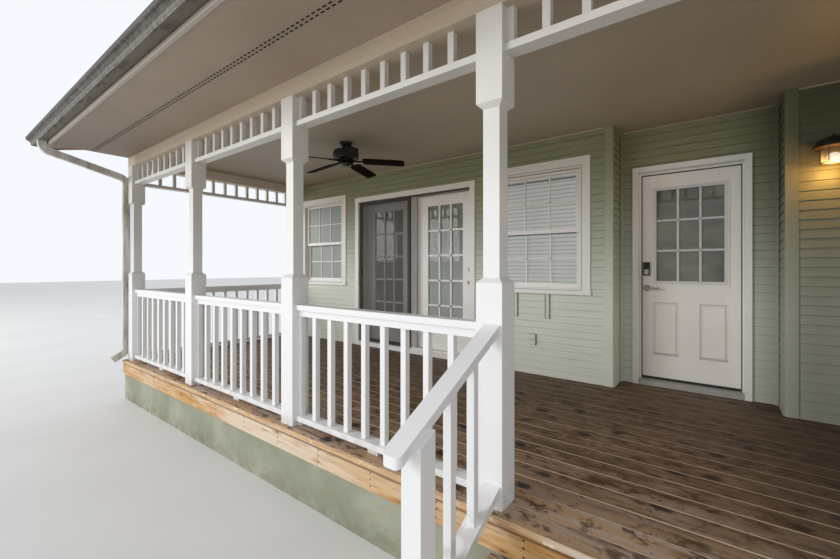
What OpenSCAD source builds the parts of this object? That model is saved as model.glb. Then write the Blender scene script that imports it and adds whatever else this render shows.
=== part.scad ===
/* [Plan] */
// Spacing of the posts along a railed bay, centre to centre
bay = 1690; // [1650:10:1900]
// Spacing of the two posts beside the steps, centre to centre
entry_bay = 1780; // [1700:10:2100]
// Depth from the front face of the posts to the house wall
porch_depth = 2514; // [2200:1:3200]
// Depth of the alcove of the front door behind the house wall
alcove_depth = 308; // [200:1:500]
// Width of the alcove of the front door
alcove_w = 1250; // [1150:10:1500]

/* [Heights above the deck] */
// Underside of the frieze rail
frieze_z = 2237; // [2100:1:2300]
// Underside of the beam
beam_z = 2460; // [2380:1:2600]
// Underside of the soffit and of the ceiling
ceiling_z = 2585; // [2550:1:2700]
// Underside of the handrail cap
cap_z = 864; // [800:1:950]
// Underside of the bottom rail of the railings
foot_z = 38; // [25:1:80]

/* [Steps and floor] */
// Rise of one step
riser_h = 165; // [140:1:190]
// Run of one step
step_run = 300; // [290:1:340]
// Thickness of the deck boards
deck_t = 32; // [25:1:40]
// Width of a deck board
deck_board_w = 140; // [90:1:184]
// Gap between two deck boards
deck_gap = 5; // [3:1:8]
// Overhang of the deck past the faces of the posts
deck_over = 50; // [42:1:80]
// Setback of the rim boards behind the edge of the deck
rim_setback = 10; // [5:1:25]
// Height of joists and rim boards
joist_h = 140; // [120:1:184]
// Thickness of sawn framing lumber
lumber_t = 38; // [35:1:40]
// Width of rail lumber
rail_w = 89; // [80:1:100]
// Spacing of the floor joists
joist_pitch = 406; // [300:1:610]
// Thickness of the foundation walls
foundation_t = 150; // [120:5:250]
// Width of a sloped cut stringer measured on its ground seat
stringer_toe = 195; // [150:5:250]
// Overhang of a tread in front of its stringer
tread_overhang = 25; // [15:1:40]
// Slope of the stair rails in degrees
stair_rail_angle = 25.8; // [22:0.1:32]
// Distance from the faces of the posts to the front of a newel
newel_reach = 657; // [600:1:720]
// Distance from the faces of the posts to the end of a stair handrail
handrail_reach = 750; // [735:5:850]
// Radius of the corners at the end of a stair handrail
handrail_corner = 25; // [10:1:40]
// Width of a stair handrail and of the bottom rail under it
stair_rail_w = 85; // [70:1:100]
// Distance of a stair handrail from the middle of its newel, away from the steps
stair_rail_shift = 18; // [0:1:30]
// Height of the bottom stair rail above the deck, beside the posts
low_rail_z = 120; // [80:1:200]

/* [Posts and railings] */
// Side of the square shaft of a post
post_w = 90; // [85:1:100]
// Side of the boxed base and capital of a post
post_box = 143; // [120:1:160]
// Height of the boxed base
base_h = 1105; // [950:1:1200]
// Height of the underside of the capital
capital_z = 2001; // [1850:1:2050]
// Height of the chamfer between box and shaft
box_chamfer = 26; // [15:1:40]
// Side of the square balusters and spindles
baluster_w = 38; // [30:1:45]
// Balusters in a railed bay
baluster_count = 9; // [6:1:12]
// Balusters in the railing of a porch end
end_count = 13; // [9:1:17]
// Height of the rail under the handrail cap
subrail_h = 47; // [35:1:60]
// Width of the rail under the handrail cap
subrail_w = 50; // [40:1:60]

/* [Roof] */
// Overhang of the roof in front of the beam
eave_over = 735; // [500:5:900]
// Overhang of the roof past the ends of the porch
rake_over = 400; // [200:5:500]
// Rise of the roof for each unit of run
roof_pitch = 0.25; // [0.2:0.01:0.4]
// Height of the fascia board
fascia_h = 165; // [160:5:220]
// Thickness of fascia and rake boards
fascia_t = 25; // [19:1:38]
// Thickness of the roof sheathing measured upright
sheathing_t = 16; // [12:1:22]
// Thickness of the shingle layer measured upright
shingle_t = 18; // [12:1:30]
// Spacing of the rafters
rafter_pitch = 610; // [400:10:800]
// Width of the gutter at its top
gutter_w = 127; // [100:1:150]
// Height of the gutter
gutter_h = 90; // [80:1:110]
// Metal thickness of gutter and downspouts
gutter_t = 2; // [1.5:0.1:4]
// Width of a downspout
spout_w = 51; // [45:1:60]
// Width of the floor of the gutter
gutter_floor_w = 86; // [70:1:95]
// Height of the upright lip of the gutter
gutter_lip = 14; // [10:1:20]
// Height of the upper curve of the gutter's front
ogee_top = 22; // [15:1:30]
// Depth of the upper curve of the gutter's front
ogee_side = 18; // [10:1:25]
// Height of the lower curve of the gutter's front
ogee_foot = 34; // [20:1:40]
// Depth of a downspout
spout_d = 76; // [65:1:90]
// Radius of a downspout's bends, on the middle of the tube
spout_bend_r = 85; // [50:5:100]
// Height of a downspout's straps
strap_h = 25; // [15:1:40]
// Thickness of the framed panels over the porch ends
gable_t = 89; // [60:1:100]

/* [House wall] */
// Thickness of the house wall with its siding
wall_t = 150; // [130:5:200]
// Thickness of casings and corner boards in front of the siding
casing_t = 20; // [15:1:30]
// Width of the door casings
casing_w = 77; // [60:1:100]
// Distance from the left end of the wall to the left window casing
window_margin = 174; // [100:1:300]
// Gap between the left window casing and the patio door casing
left_gap = 215; // [120:1:260]
// Gap between the patio door casing and the right window casing
right_gap = 190; // [120:1:260]
// Gap between the right window casing and the alcove
alcove_gap = 214; // [150:1:300]
// Width of a window opening in the wall
window_w = 980; // [800:10:1050]
// Height of a window opening in the wall
window_h = 1299; // [1000:1:1350]
// Height of the window opening above the deck
window_z = 940; // [850:5:1050]
// Width of the side casings of a window
window_casing_w = 85; // [60:1:100]
// Height of the head casing of a window
window_head_h = 90; // [80:1:140]
// Height of the top of the meeting rail above the bottom of the window opening
window_meet = 659; // [500:1:750]
// Width of the stiles of a sash
stile_w = 50; // [30:1:60]
// Height of the top rail of the upper sash
sash_head = 30; // [25:1:50]
// Height of the two meeting rails
meet_rail_h = 45; // [30:1:50]
// Height of the bottom rail of a sash
sash_foot = 49; // [40:1:75]
// Thickness of a sash
sash_t = 35; // [30:1:40]
// Depth of the upper sash behind the face of the wall
sash_y = 30; // [20:1:40]
// Height of a window's sill board
window_sill_h = 42; // [30:1:60]
// Width of the corner boards
corner_w = 80; // [60:1:100]

/* [Patio door] */
// Width of the patio door opening in the wall
patio_w = 2020; // [1800:1:2100]
// Height of the patio door opening above the deck
patio_h = 2208; // [2060:1:2250]
// Width of the patio door's casing beside its frame
patio_casing_w = 42; // [30:1:90]
// Depth of the patio door's frame, which ends inside the room
patio_depth = 195; // [150:5:200]
// Width of the post between the leaves
mullion_w = 60; // [40:1:80]
// Height of the patio door's sill
patio_sill = 60; // [40:1:80]
// Width of the glass in a patio leaf
patio_lite_w = 560; // [480:5:640]
// Height of the bottom rail of a patio leaf
leaf_foot = 260; // [200:5:320]
// Height of the top rail of a patio leaf
leaf_head = 150; // [100:5:180]
// Thickness of the insect screen's frame
screen_t = 20; // [14:1:25]
// Width of the members of the insect screen's frame
screen_rim = 48; // [35:1:60]
// Height of the middle of the knob above the deck
knob_z = 990; // [950:5:1100]
// Height of the deadbolt above the knob
bolt_up = 165; // [120:5:180]
// Distance from the middle of the knob to the edge of its leaf
knob_backset = 70; // [60:1:90]

/* [Front door] */
// Width of the casing around the front door
door_casing_w = 48; // [38:1:90]
// Width of the front door leaf
door_w = 830; // [760:1:915]
// Height of the front door leaf
door_h = 2095; // [1980:1:2120]
// Height of the foot of the front door leaf above the deck
door_z = 45; // [30:1:100]
// Thickness of a door leaf
leaf_t = 45; // [40:1:50]
// Offset of the front door leaf from the middle of its alcove
door_offset = -30; // [-60:1:60]
// Thickness of the casing around the front door
door_casing_t = 30; // [20:1:38]
// Width of the glass in the front door
lite_w = 551; // [480:1:600]
// Height of the glass in the front door
lite_h = 917; // [800:1:960]
// Height of the foot of the glass above the foot of the leaf
lite_z = 1000; // [950:5:1060]
// Width of the raised frame around the glass
lite_frame = 38; // [25:1:50]
// Width of a raised panel
panel_w = 219; // [180:1:260]
// Height of a raised panel
panel_h = 536; // [450:1:600]
// Height of the panels above the foot of the leaf
panel_z = 245; // [200:5:320]
// Distance from the middle of the leaf to the middle of a panel
panel_x = 195; // [170:1:230]
// Depth of the groove around a panel
panel_groove = 8; // [4:1:12]
// Distance from the middle of the lock to the edge of the leaf
lock_backset = 53; // [45:1:75]
// Height of the lever above the deck
lever_z = 970; // [900:5:1050]
// Length of the lever
lever_l = 115; // [90:5:135]
// Height of the middle of the keypad above the deck
keypad_z = 1167; // [1120:1:1250]
// Height of the keypad
keypad_h = 142; // [100:1:160]
// Width of the keypad
keypad_w = 60; // [50:1:75]

/* [Fan and light] */
// Diameter swept by the fan blades
fan_d = 1320; // [1060:10:1520]
// Depth of the fan axis behind the posts
fan_y = 1280; // [1000:10:1500]
// Diameter of the fan housing
fan_housing_d = 290; // [220:5:320]
// Height from the ceiling down to the middle of the rotor
fan_drop = 210; // [208:1:216]
// Width of a fan blade
blade_w = 130; // [110:1:150]
// Twist of a fan blade in degrees
blade_pitch = 13; // [8:1:15]
// Droop of a fan blade in degrees
blade_droop = 3.5; // [0:0.5:6]
// Turn of the first blade from the length of the porch in degrees
blade_turn = 35.5; // [0:0.5:72]
// Diameter of the porch light's hood
light_d = 222; // [180:2:240]
// Height of the rim of the hood above the deck
light_z = 2060; // [1900:5:2200]
// Distance from the wall to the axis of the porch light
light_arm = 130; // [125:5:160]
// Height of the porch light's hood
hood_h = 78; // [60:1:100]
// Radius of the porch light's glass jar
jar_r = 68; // [50:1:72]
// Height of the porch light's cage
jar_h = 112; // [90:1:140]
// Thickness of the wires of the cage
wire_t = 5; // [4:1:8]

/* [Hidden] */
$fn = 48;
eps = 1;

deck_z = 3 * riser_h;
porch_len = 4 * bay + entry_bay;
end_x = porch_len / 2 + post_box / 2;
post_x = [for (i = [0:2]) -porch_len / 2 + i * bay,
    -porch_len / 2 + 3 * bay, porch_len / 2 - bay, porch_len / 2];
post_mid = post_box / 2;
frame_z = deck_z - deck_t - joist_h;
deck_edge = deck_over;
rim_face = deck_edge - rim_setback;
foundation_setback = 15;
foundation_face = rim_face - foundation_setback;
house_y = porch_depth;
house_back = house_y + wall_t;
alcove_y = house_y + alcove_depth;
alcove_back = alcove_y + wall_t;

window_outer = window_w + 2 * window_casing_w;
window_left_x = -end_x + window_margin + window_outer / 2;
patio_outer = patio_w + 2 * patio_casing_w;
patio_x = window_left_x + window_outer / 2 + left_gap + patio_outer / 2;
window_right_x = patio_x + patio_outer / 2 + right_gap + window_outer / 2;
alcove_x0 = window_right_x + window_outer / 2 + alcove_gap;
alcove_x1 = alcove_x0 + alcove_w;
door_x = (alcove_x0 + alcove_x1) / 2 + door_offset;
light_offset = 255;
light_x = alcove_x1 + light_offset;
fan_offset = 75;
fan_x = (post_x[1] + post_x[2]) / 2 + fan_offset;

soffit_t = 10;
ceiling_t = 12;
eave_y = -eave_over - fascia_t;
roof_z0 = deck_z + ceiling_z - soffit_t + fascia_h;
roof_end = end_x + rake_over;
gutter_end = roof_end + 10;
shingle_lip = 8;
gutter_drop = 35;
rafter_h = fascia_h - 20;
handle_reach = 62;
y_min = eave_y - gutter_w;
y_max = alcove_back + handle_reach;
y_mid = (y_min + y_max) / 2;

seat = 0.3;
run_clear = 5;
latch_clear = 8;
pin_r = 4;
pin_clear = 0.3;
knuckle_r = 8;
hinge_h = 100;
knuckle_gap = 0.5;
jamb_t = 32;
leaf_clear = 5;

function roof_under(y) = roof_z0 + (y - eave_y) * roof_pitch;
beam_top = roof_under(post_mid) - rafter_h;
alcove_top = deck_z + ceiling_z + 120;

tread_inset = 46;
tread_x0 = post_x[3] + tread_inset;
tread_x1 = post_x[4] - tread_inset;
newel_inset = 35.5;
newel_x = post_x[3] + newel_inset;
newel_mirror = post_x[3] + post_x[4];
newel_y0 = -newel_reach;
end_clear = house_y - post_box - post_mid;

gutter_top = roof_z0 - gutter_drop;
gutter_z = gutter_top - gutter_h;
spout_gap = 10;
spout_x = end_x + spout_w / 2 + spout_gap;
spout_y = eave_y - 45;
spout_back = -10;
strap_t = 2;
strap_zs = [base_h - 55, beam_z - 310];
spout_corners = [[spout_y, gutter_z], [spout_y, gutter_z - 95], [spout_back, gutter_z - 300],
    [spout_back, deck_z + 105], [spout_back - 140, deck_z + 20]];

sash_frame_t = 20;
sill_horn = 8;
sill_nose = 12;
glass_t = 6;

reveal = 2;
stop_d = 20;
stop_w = 14;
door_hole_w = door_w + leaf_clear + latch_clear + 2 * jamb_t;
door_hole_x = door_x + (leaf_clear - latch_clear) / 2;
door_hole_h = door_z + door_h + leaf_clear + jamb_t;
hinge_low = 250;
hinge_up = 50;
hinge_top = 180;
hinge_plate_w = 30;
hinge_plate_t = 3;
rose_r = 32;
rose_t = 12;
lever_r = 11;

patio_jamb = 30;
patio_leaf_w = (patio_w - 2 * patio_jamb - mullion_w) / 2 - leaf_clear - latch_clear;
patio_leaf_h = patio_h - patio_jamb - patio_sill - 2 * leaf_clear;
patio_leaf_z = deck_z + patio_sill + leaf_clear;
patio_leaf_y = house_y + patio_depth - leaf_t;
patio_fixed_x0 = patio_x - patio_w / 2 + patio_jamb + leaf_clear;
patio_leaf_x0 = patio_x + mullion_w / 2 + leaf_clear;
leaf_stile = (patio_leaf_w - patio_lite_w) / 2;
lug_z = 300;
lug_h = 60;
screen_y = 12;
screen_clear_y = screen_y + screen_t + run_clear;
screen_lap = 10;
screen_w = (patio_w - 2 * patio_jamb) / 2 + screen_lap;
screen_travel = patio_w - 2 * patio_jamb - screen_w - 2 * run_clear;
track_t = 4;
track_h = 13;

fan_ceiling = deck_z + ceiling_z;
blade_z = fan_ceiling - fan_drop;
shaft_r = 10;
blade_t = 8;
blade_root = 190;
arm_root = 60;
arm_w = 36;
hub_r = 85;
finial_h = 24;

module place() {
    translate([0, -y_mid, 0]) children();
}

// A box given by its two opposite corners
module block(a, b) {
    translate(a) cube([b[0] - a[0], b[1] - a[1], b[2] - a[2]]);
}

// A profile drawn in depth and height, carried along X from x0 to x1
module along_x(x0, x1) {
    translate([x0, 0, 0]) rotate([90, 0, 90]) linear_extrude(x1 - x0) children();
}

// A profile drawn in X and height, carried along Y from y0 to y1
module along_y(y0, y1) {
    translate([0, y1, 0]) rotate([90, 0, 0]) linear_extrude(y1 - y0) children();
}

module foundation() {
    outer = end_x + foundation_face;
    color("DarkSeaGreen") place() union() {
        block([-outer, -foundation_face, 0], [outer, foundation_t - foundation_face, frame_z]);
        for (s = [-1, 1]) {
            x = s * (outer - foundation_t / 2);
            block([x - foundation_t / 2, -foundation_face, 0],
                [x + foundation_t / 2, house_y + eps, frame_z]);
        }
        block([-end_x, house_y, 0], [alcove_x0, house_back, deck_z]);
        block([alcove_x1, house_y, 0], [end_x, house_back, deck_z]);
        block([alcove_x0 - wall_t, house_y, 0], [alcove_x0, alcove_back, deck_z]);
        block([alcove_x1, house_y, 0], [alcove_x1 + wall_t, alcove_back, deck_z]);
        block([alcove_x0 - wall_t, alcove_y, 0], [alcove_x1 + wall_t, alcove_back, deck_z]);
    }
}

// Joists from the front rim to the ledgers on the house
module floor_joists() {
    inner = end_x + rim_face - lumber_t;
    front = lumber_t - rim_face;
    count = floor((2 * inner - lumber_t) / joist_pitch);
    color("BurlyWood") place() {
        for (i = [0:count]) {
            x = -inner + i * (2 * inner - lumber_t) / count;
            deep = x > alcove_x0 && x + lumber_t < alcove_x1;
            back = (deep ? alcove_y : house_y) - lumber_t - seat;
            block([x, front, frame_z], [x + lumber_t, back, frame_z + joist_h]);
        }
        block([-inner, house_y - lumber_t, frame_z], [alcove_x0, house_y, frame_z + joist_h]);
        block([alcove_x1, house_y - lumber_t, frame_z], [inner, house_y, frame_z + joist_h]);
        block([alcove_x0, alcove_y - lumber_t, frame_z], [alcove_x1, alcove_y, frame_z + joist_h]);
    }
}

module rim_boards() {
    outer = end_x + rim_face;
    color("Goldenrod") place() {
        block([-outer, -rim_face, frame_z], [outer, lumber_t - rim_face, frame_z + joist_h]);
        for (s = [0, 1]) mirror([s, 0, 0])
            block([-outer, lumber_t - rim_face + seat, frame_z],
                [lumber_t - outer, house_y, frame_z + joist_h]);
    }
}

// Boards laid side by side from the nosing to the wall, and on into the alcove
module deck_boards() {
    outer = end_x + deck_edge;
    pitch = deck_board_w + deck_gap;
    last = ceil((alcove_y + deck_edge) / pitch) - 1;
    color("SaddleBrown") place() for (i = [0:last]) {
        y0 = -deck_edge + i * pitch;
        y1 = y0 + deck_board_w;
        if (y0 < house_y - deck_gap)
            block([-outer, y0, deck_z - deck_t], [outer, min(y1, house_y), deck_z]);
        if (y1 > house_y && y0 < alcove_y - deck_gap)
            block([alcove_x0, y0 < house_y - deck_gap ? house_y : y0, deck_z - deck_t],
                [alcove_x1, min(y1, alcove_y), deck_z]);
    }
}

function tread_front(i) = -deck_edge - i * step_run;

module stair_stringers() {
    inner = newel_x + rail_w / 2;
    seat1 = deck_z - riser_h - lumber_t;
    seat2 = deck_z - 2 * riser_h - lumber_t;
    nose1 = tread_front(1) + tread_overhang;
    nose2 = tread_front(2) + tread_overhang;
    heel = nose2 + stringer_toe;
    xs = [inner, (tread_x0 + tread_x1) / 2 - lumber_t / 2, newel_mirror - inner - lumber_t];
    color("Peru") place() for (x = xs)
        along_x(x, x + lumber_t) polygon([[-foundation_face, seat1], [nose1, seat1], [nose1, seat2],
            [nose2, seat2], [nose2, 0], [heel, 0],
            [-foundation_face, (-foundation_face - heel) * riser_h / step_run]]);
}

module stair_treads() {
    color("Sienna") place() for (i = [1, 2]) for (k = [0, 1]) {
        y0 = tread_front(i) + k * (deck_board_w + deck_gap);
        z1 = deck_z - i * riser_h;
        difference() {
            block([tread_x0, y0, z1 - lumber_t], [tread_x1, y0 + deck_board_w, z1]);
            for (s = [0, 1]) translate([s * newel_mirror, 0, 0]) mirror([s, 0, 0])
                block([newel_x - rail_w, newel_y0, 0],
                    [newel_x + rail_w / 2, newel_y0 + rail_w, deck_z]);
        }
    }
}

// A square shaft between a boxed base and a boxed capital with chamfered shoulders
module post_at(x, y) {
    shoulder = (post_box - post_w) / 2;
    profile = [[0, 0], [post_box / 2, 0], [post_box / 2, base_h],
        [post_w / 2, base_h + box_chamfer], [post_w / 2, capital_z - box_chamfer],
        [post_box / 2, capital_z], [post_box / 2, beam_z], [0, beam_z]];
    place() translate([x, y + post_mid, deck_z]) intersection() {
        along_y(-post_box, post_box) union() {
            polygon(profile);
            mirror([1, 0]) polygon(profile);
        }
        along_x(-post_box, post_box) union() {
            polygon(profile);
            mirror([1, 0]) polygon(profile);
        }
    }
}

module porch_post(i) {
    color("WhiteSmoke") post_at(post_x[i - 1], 0);
}

// Half posts against the house at both ends of the porch
module wall_posts() {
    color("WhiteSmoke") intersection() {
        for (s = [-1, 1]) post_at(s * porch_len / 2, house_y - post_mid);
        place() block([-2 * end_x, house_y - post_box, 0], [2 * end_x, house_y, 2 * deck_z + beam_z]);
    }
}

// Railing of one bay laid along X from 0, on the post centre line. Balusters and foot blocks are
// pieces of their own, toe-nailed between the rails
module railing(clear, count, first) {
    step = (clear - first - baluster_w) / count;
    mid = post_mid;
    sub_z = cap_z - subrail_h;
    block([0, mid - rail_w / 2, foot_z], [clear, mid + rail_w / 2, foot_z + lumber_t]);
    block([0, mid - subrail_w / 2, sub_z], [clear, mid + subrail_w / 2, cap_z]);
    block([0, mid - rail_w / 2, cap_z], [clear, mid + rail_w / 2, cap_z + lumber_t]);
    for (i = [0:count - 1]) translate([first + i * step, 0, 0])
        block([0, mid - baluster_w / 2, foot_z + lumber_t + seat],
            [baluster_w, mid + baluster_w / 2, sub_z - seat]);
    for (x = [0, clear / 2 - rail_w / 2])
        block([x, mid - baluster_w / 2, 0],
            [x + (x == 0 ? baluster_w : rail_w), mid + baluster_w / 2, foot_z - seat]);
}

module railing_bay(i) {
    color("WhiteSmoke") place()
        translate([post_x[i - 1] + post_mid, 0, deck_z])
            railing(post_x[i] - post_x[i - 1] - post_box, baluster_count, 0);
}

module end_rail_place(side) {
    place() translate([side * porch_len / 2, post_box, deck_z])
        rotate([0, 0, 90]) translate([0, -post_mid, 0]) children();
}

module railing_end(side) {
    color("WhiteSmoke") end_rail_place(side) railing(end_clear, end_count, 0);
}

// Frieze of one bay laid along X from 0: a flat rail and square spindles up to the beam
module frieze(clear, count, first) {
    step = (clear - first - baluster_w) / count;
    mid = post_mid;
    block([0, mid - rail_w / 2, frieze_z], [clear, mid + rail_w / 2, frieze_z + lumber_t]);
    for (i = [0:count - 1]) translate([first + i * step, 0, 0])
        block([0, mid - baluster_w / 2, frieze_z + lumber_t + seat],
            [baluster_w, mid + baluster_w / 2, beam_z]);
}

module frieze_front() {
    color("WhiteSmoke") place() for (i = [0:4])
        translate([post_x[i] + post_mid, 0, deck_z])
            frieze(post_x[i + 1] - post_x[i] - post_box, baluster_count, 0);
}

module frieze_end(side) {
    color("WhiteSmoke") end_rail_place(side) frieze(end_clear, end_count, 0);
}

// Newel, sloped handrail and bottom rail with two balusters beside the steps
module stair_rail() {
    slope = tan(stair_rail_angle);
    mid = rail_w / 2;
    rail_end = -handrail_reach;
    top0 = cap_z + lumber_t;
    upright_t = lumber_t / cos(stair_rail_angle);
    r = handrail_corner;
    x0 = newel_x - mid;
    rail_x = newel_x - stair_rail_shift;
    rail_x0 = rail_x - stair_rail_w / 2;
    newel_back = newel_y0 + rail_w;
    function rail_under(y) = top0 - upright_t + y * slope;
    function low_top(y) = low_rail_z + y * slope;
    module rail_profile(y0, y1, top) {
        polygon([[y0, top + y0 * slope], [y1, top + y1 * slope],
            [y1, top + y1 * slope - upright_t], [y0, top + y0 * slope - upright_t]]);
    }
    translate([0, 0, deck_z]) {
        intersection() {
            along_x(rail_x0, rail_x0 + stair_rail_w) rail_profile(rail_end, 0, top0);
            translate([0, 0, -deck_z]) linear_extrude(3 * deck_z) union() {
                translate([rail_x0, rail_end + r]) square([stair_rail_w, -rail_end]);
                for (x = [r, stair_rail_w - r]) translate([rail_x0 + x, rail_end + r]) circle(r);
                translate([rail_x0 + r, rail_end]) square([stair_rail_w - 2 * r, 2 * r]);
            }
        }
        along_x(x0, x0 + rail_w) polygon([[newel_y0, -deck_z], [newel_back, -deck_z],
            [newel_back, rail_under(newel_back) + eps], [newel_y0, rail_under(newel_y0) + eps]]);
        along_x(rail_x0, rail_x0 + stair_rail_w) rail_profile(newel_back - eps, 0, low_rail_z);
        for (k = [1, 2]) {
            y = newel_back * k / 3 - baluster_w / 2;
            along_x(rail_x - baluster_w / 2, rail_x + baluster_w / 2)
                polygon([[y, low_top(y) - eps], [y + baluster_w, low_top(y + baluster_w) - eps],
                    [y + baluster_w, rail_under(y + baluster_w) + eps], [y, rail_under(y) + eps]]);
        }
    }
}

module stair_rail_left() {
    color("WhiteSmoke") place() stair_rail();
}

module stair_rail_right() {
    color("WhiteSmoke") place() translate([newel_mirror, 0, 0]) mirror([1, 0, 0]) stair_rail();
}

module porch_beams() {
    z0 = deck_z + beam_z;
    color("Linen") place() union() {
        block([-end_x, 0, z0], [end_x, post_box, beam_top]);
        for (s = [0, 1]) mirror([s, 0, 0])
            block([-end_x, post_box - eps, z0], [post_box - end_x, house_y, beam_top]);
    }
}

module ceiling() {
    z0 = deck_z + ceiling_z;
    color("RosyBrown") place() {
        block([post_box - end_x, post_box, z0], [end_x - post_box, house_y, z0 + ceiling_t]);
        block([alcove_x0, house_y, z0], [alcove_x1, alcove_y, z0 + ceiling_t]);
    }
}

// Flat boards under the eave, and sloped boards under the roof past the end walls
module soffit() {
    z0 = deck_z + ceiling_z;
    low = rafter_h - soffit_t;
    color("RosyBrown") place() {
        block([-end_x, -eave_over, z0], [end_x, 0, z0 + soffit_t]);
        for (s = [0, 1]) mirror([s, 0, 0])
            along_x(-roof_end + fascia_t, -end_x)
                polygon([[-eave_over, roof_under(-eave_over) - rafter_h],
                    [house_back, roof_under(house_back) - rafter_h],
                    [house_back, roof_under(house_back) - low],
                    [-eave_over, roof_under(-eave_over) - low]]);
    }
}

// Board behind the gutter, and a sloped rake board at each end of the roof
module fascia_boards() {
    z0 = deck_z + ceiling_z - soffit_t;
    rake_y = seat - eave_over;
    color("Gainsboro") place() {
        block([-roof_end, eave_y, z0], [roof_end, -eave_over, roof_z0]);
        for (s = [0, 1]) mirror([s, 0, 0])
            along_x(-roof_end, -roof_end + fascia_t)
                polygon([[rake_y, roof_under(rake_y) - fascia_h],
                    [house_back, roof_under(house_back) - fascia_h],
                    [house_back, roof_under(house_back)],
                    [rake_y, roof_under(rake_y)]]);
    }
}

// Rafters with a seat cut over the beam and level tails over the soffit
module rafters() {
    inner = end_x - gable_t - lumber_t;
    count = floor(2 * inner / rafter_pitch);
    color("BurlyWood") place() difference() {
        for (i = [0:count]) {
            x = -inner - lumber_t / 2 + i * 2 * inner / count;
            along_x(x, x + lumber_t)
                polygon([[-eave_over, roof_under(-eave_over) - rafter_h],
                    [house_y, roof_under(house_y) - rafter_h],
                    [house_y, roof_under(house_y)], [-eave_over, roof_under(-eave_over)]]);
        }
        block([-end_x, 0, deck_z], [end_x, post_box, beam_top]);
        block([-end_x, -2 * eave_over, deck_z], [end_x, 0, deck_z + ceiling_z + soffit_t]);
    }
}

module roof_layer(from, to, grow) {
    y0 = eave_y - grow;
    along_x(-roof_end - grow, roof_end + grow)
        polygon([[y0, roof_under(y0) + from], [house_back, roof_under(house_back) + from],
            [house_back, roof_under(house_back) + to], [y0, roof_under(y0) + to]]);
}

module roof_sheathing() {
    color("Tan") place() roof_layer(0, sheathing_t, 0);
}

module roof_shingles() {
    color("DimGray") place() roof_layer(sheathing_t, sheathing_t + shingle_t, shingle_lip);
}

// Panels that close the roof space over the side beams and at the ends of the soffit
module gable_ends() {
    color("DarkSeaGreen") place() for (s = [0, 1]) mirror([s, 0, 0])
        along_x(-end_x, gable_t - end_x) difference() {
            polygon([[-eave_over, deck_z + ceiling_z + soffit_t],
                [house_y, deck_z + ceiling_z + soffit_t],
                [house_y, roof_under(house_y)], [-eave_over, roof_under(-eave_over)]]);
            translate([0, deck_z]) square([house_y + eps, beam_top - deck_z]);
        }
}

// Front of the gutter in depth and height, from its lip down the ogee to its foot, t inside the face
function gutter_front(t) = concat(
    [[t, gutter_top], [t, gutter_top - gutter_lip]],
    [for (a = [15:15:90]) [t + ogee_side * (1 - cos(a)), gutter_top - gutter_lip - ogee_top * sin(a)]],
    [for (a = [0:15:90]) [gutter_w - gutter_floor_w + t + gutter_lip * (1 - cos(a)),
        gutter_z + ogee_foot - (ogee_foot - t) * sin(a)]]);

// Points on the round bend of a path at p, which it enters along a and leaves along b
function bend(p, a, b) =
    let(turn = acos(a * b), inward = sign(cross(a, b)) * [-a[1], a[0]],
        middle = p - a * spout_bend_r * tan(turn / 2) + inward * spout_bend_r)
    [for (k = [0:0.25:1]) middle + spout_bend_r * (a * sin(k * turn) - inward * cos(k * turn))];

// Strip of width d along a downspout: outlet, slanted run, drop and kick-out. It has round bends
// and is carried past its ends by more
module spout_profile(d, more) {
    corners = spout_corners;
    function along(i) = (corners[i + 1] - corners[i]) / norm(corners[i + 1] - corners[i]);
    path = [corners[0] - more * along(0),
        for (i = [1:3]) each bend(corners[i], along(i - 1), along(i)),
        corners[4] + more * along(3)];
    last = len(path) - 1;
    function run(i) = (path[i + 1] - path[i]) / norm(path[i + 1] - path[i]);
    function across(i) = [-run(i)[1], run(i)[0]];
    function mitre(i) = i == 0 ? across(0) : i == last ? across(last - 1)
        : (across(i - 1) + across(i)) / (1 + across(i - 1) * across(i));
    polygon(concat([for (i = [0:last]) path[i] + mitre(i) * d / 2],
        [for (i = [last:-1:0]) path[i] - mitre(i) * d / 2]));
}

// Formed sheets of the gutter: back, floor with two outlets, ogee front, and a cap at each end
module gutter() {
    front_y = eave_y - gutter_w;
    floor_y = front_y + gutter_w - gutter_floor_w + gutter_lip;
    inner = gutter_front(gutter_t);
    end = gutter_end - gutter_t - seat;
    color("LightGray") place() {
        block([-end, eave_y - gutter_t, gutter_z + gutter_t + seat], [end, eave_y, gutter_top]);
        difference() {
            block([-end, floor_y + gutter_t + seat, gutter_z], [end, eave_y, gutter_z + gutter_t]);
            for (s = [-1, 1]) translate([s * spout_x, spout_y, 0])
                block([gutter_t - spout_w / 2, gutter_t - spout_d / 2, gutter_z - eps],
                    [spout_w / 2 - gutter_t, spout_d / 2 - gutter_t, gutter_z + 2 * gutter_t]);
        }
        translate([0, front_y, 0]) along_x(-end, end)
            polygon(concat(gutter_front(0), [for (i = [len(inner) - 1:-1:0]) inner[i]]));
        for (s = [0, 1]) mirror([s, 0, 0]) translate([0, front_y, 0]) along_x(end + seat, gutter_end)
            polygon(concat(gutter_front(0), [[gutter_w, gutter_z], [gutter_w, gutter_top]]));
    }
}

// Rectangular tubes from the gutter's outlets down the corner posts, held by two straps each
module downspouts() {
    half = spout_w / 2;
    post_gap = spout_x - half - end_x;
    color("LightGray") place() for (s = [0, 1]) mirror([s, 0, 0])
        translate([-spout_x, 0, 0]) difference() {
            union() {
                along_x(-half, half) spout_profile(spout_d, 0);
                for (z = strap_zs)
                    block([-half - strap_t, spout_back - spout_d / 2 - strap_t, deck_z + z],
                        [half + post_gap, spout_back + spout_d / 2 + strap_t, deck_z + z + strap_h]);
            }
            along_x(gutter_t - half, half - gutter_t) spout_profile(spout_d - 2 * gutter_t, eps);
        }
}

// A length of the house wall from the foundation to the roof
module house_wall(x0, x1) {
    along_x(x0, x1) polygon([[house_y, deck_z], [house_back, deck_z],
        [house_back, roof_under(house_back)], [house_y, roof_under(house_y)]]);
}

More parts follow.
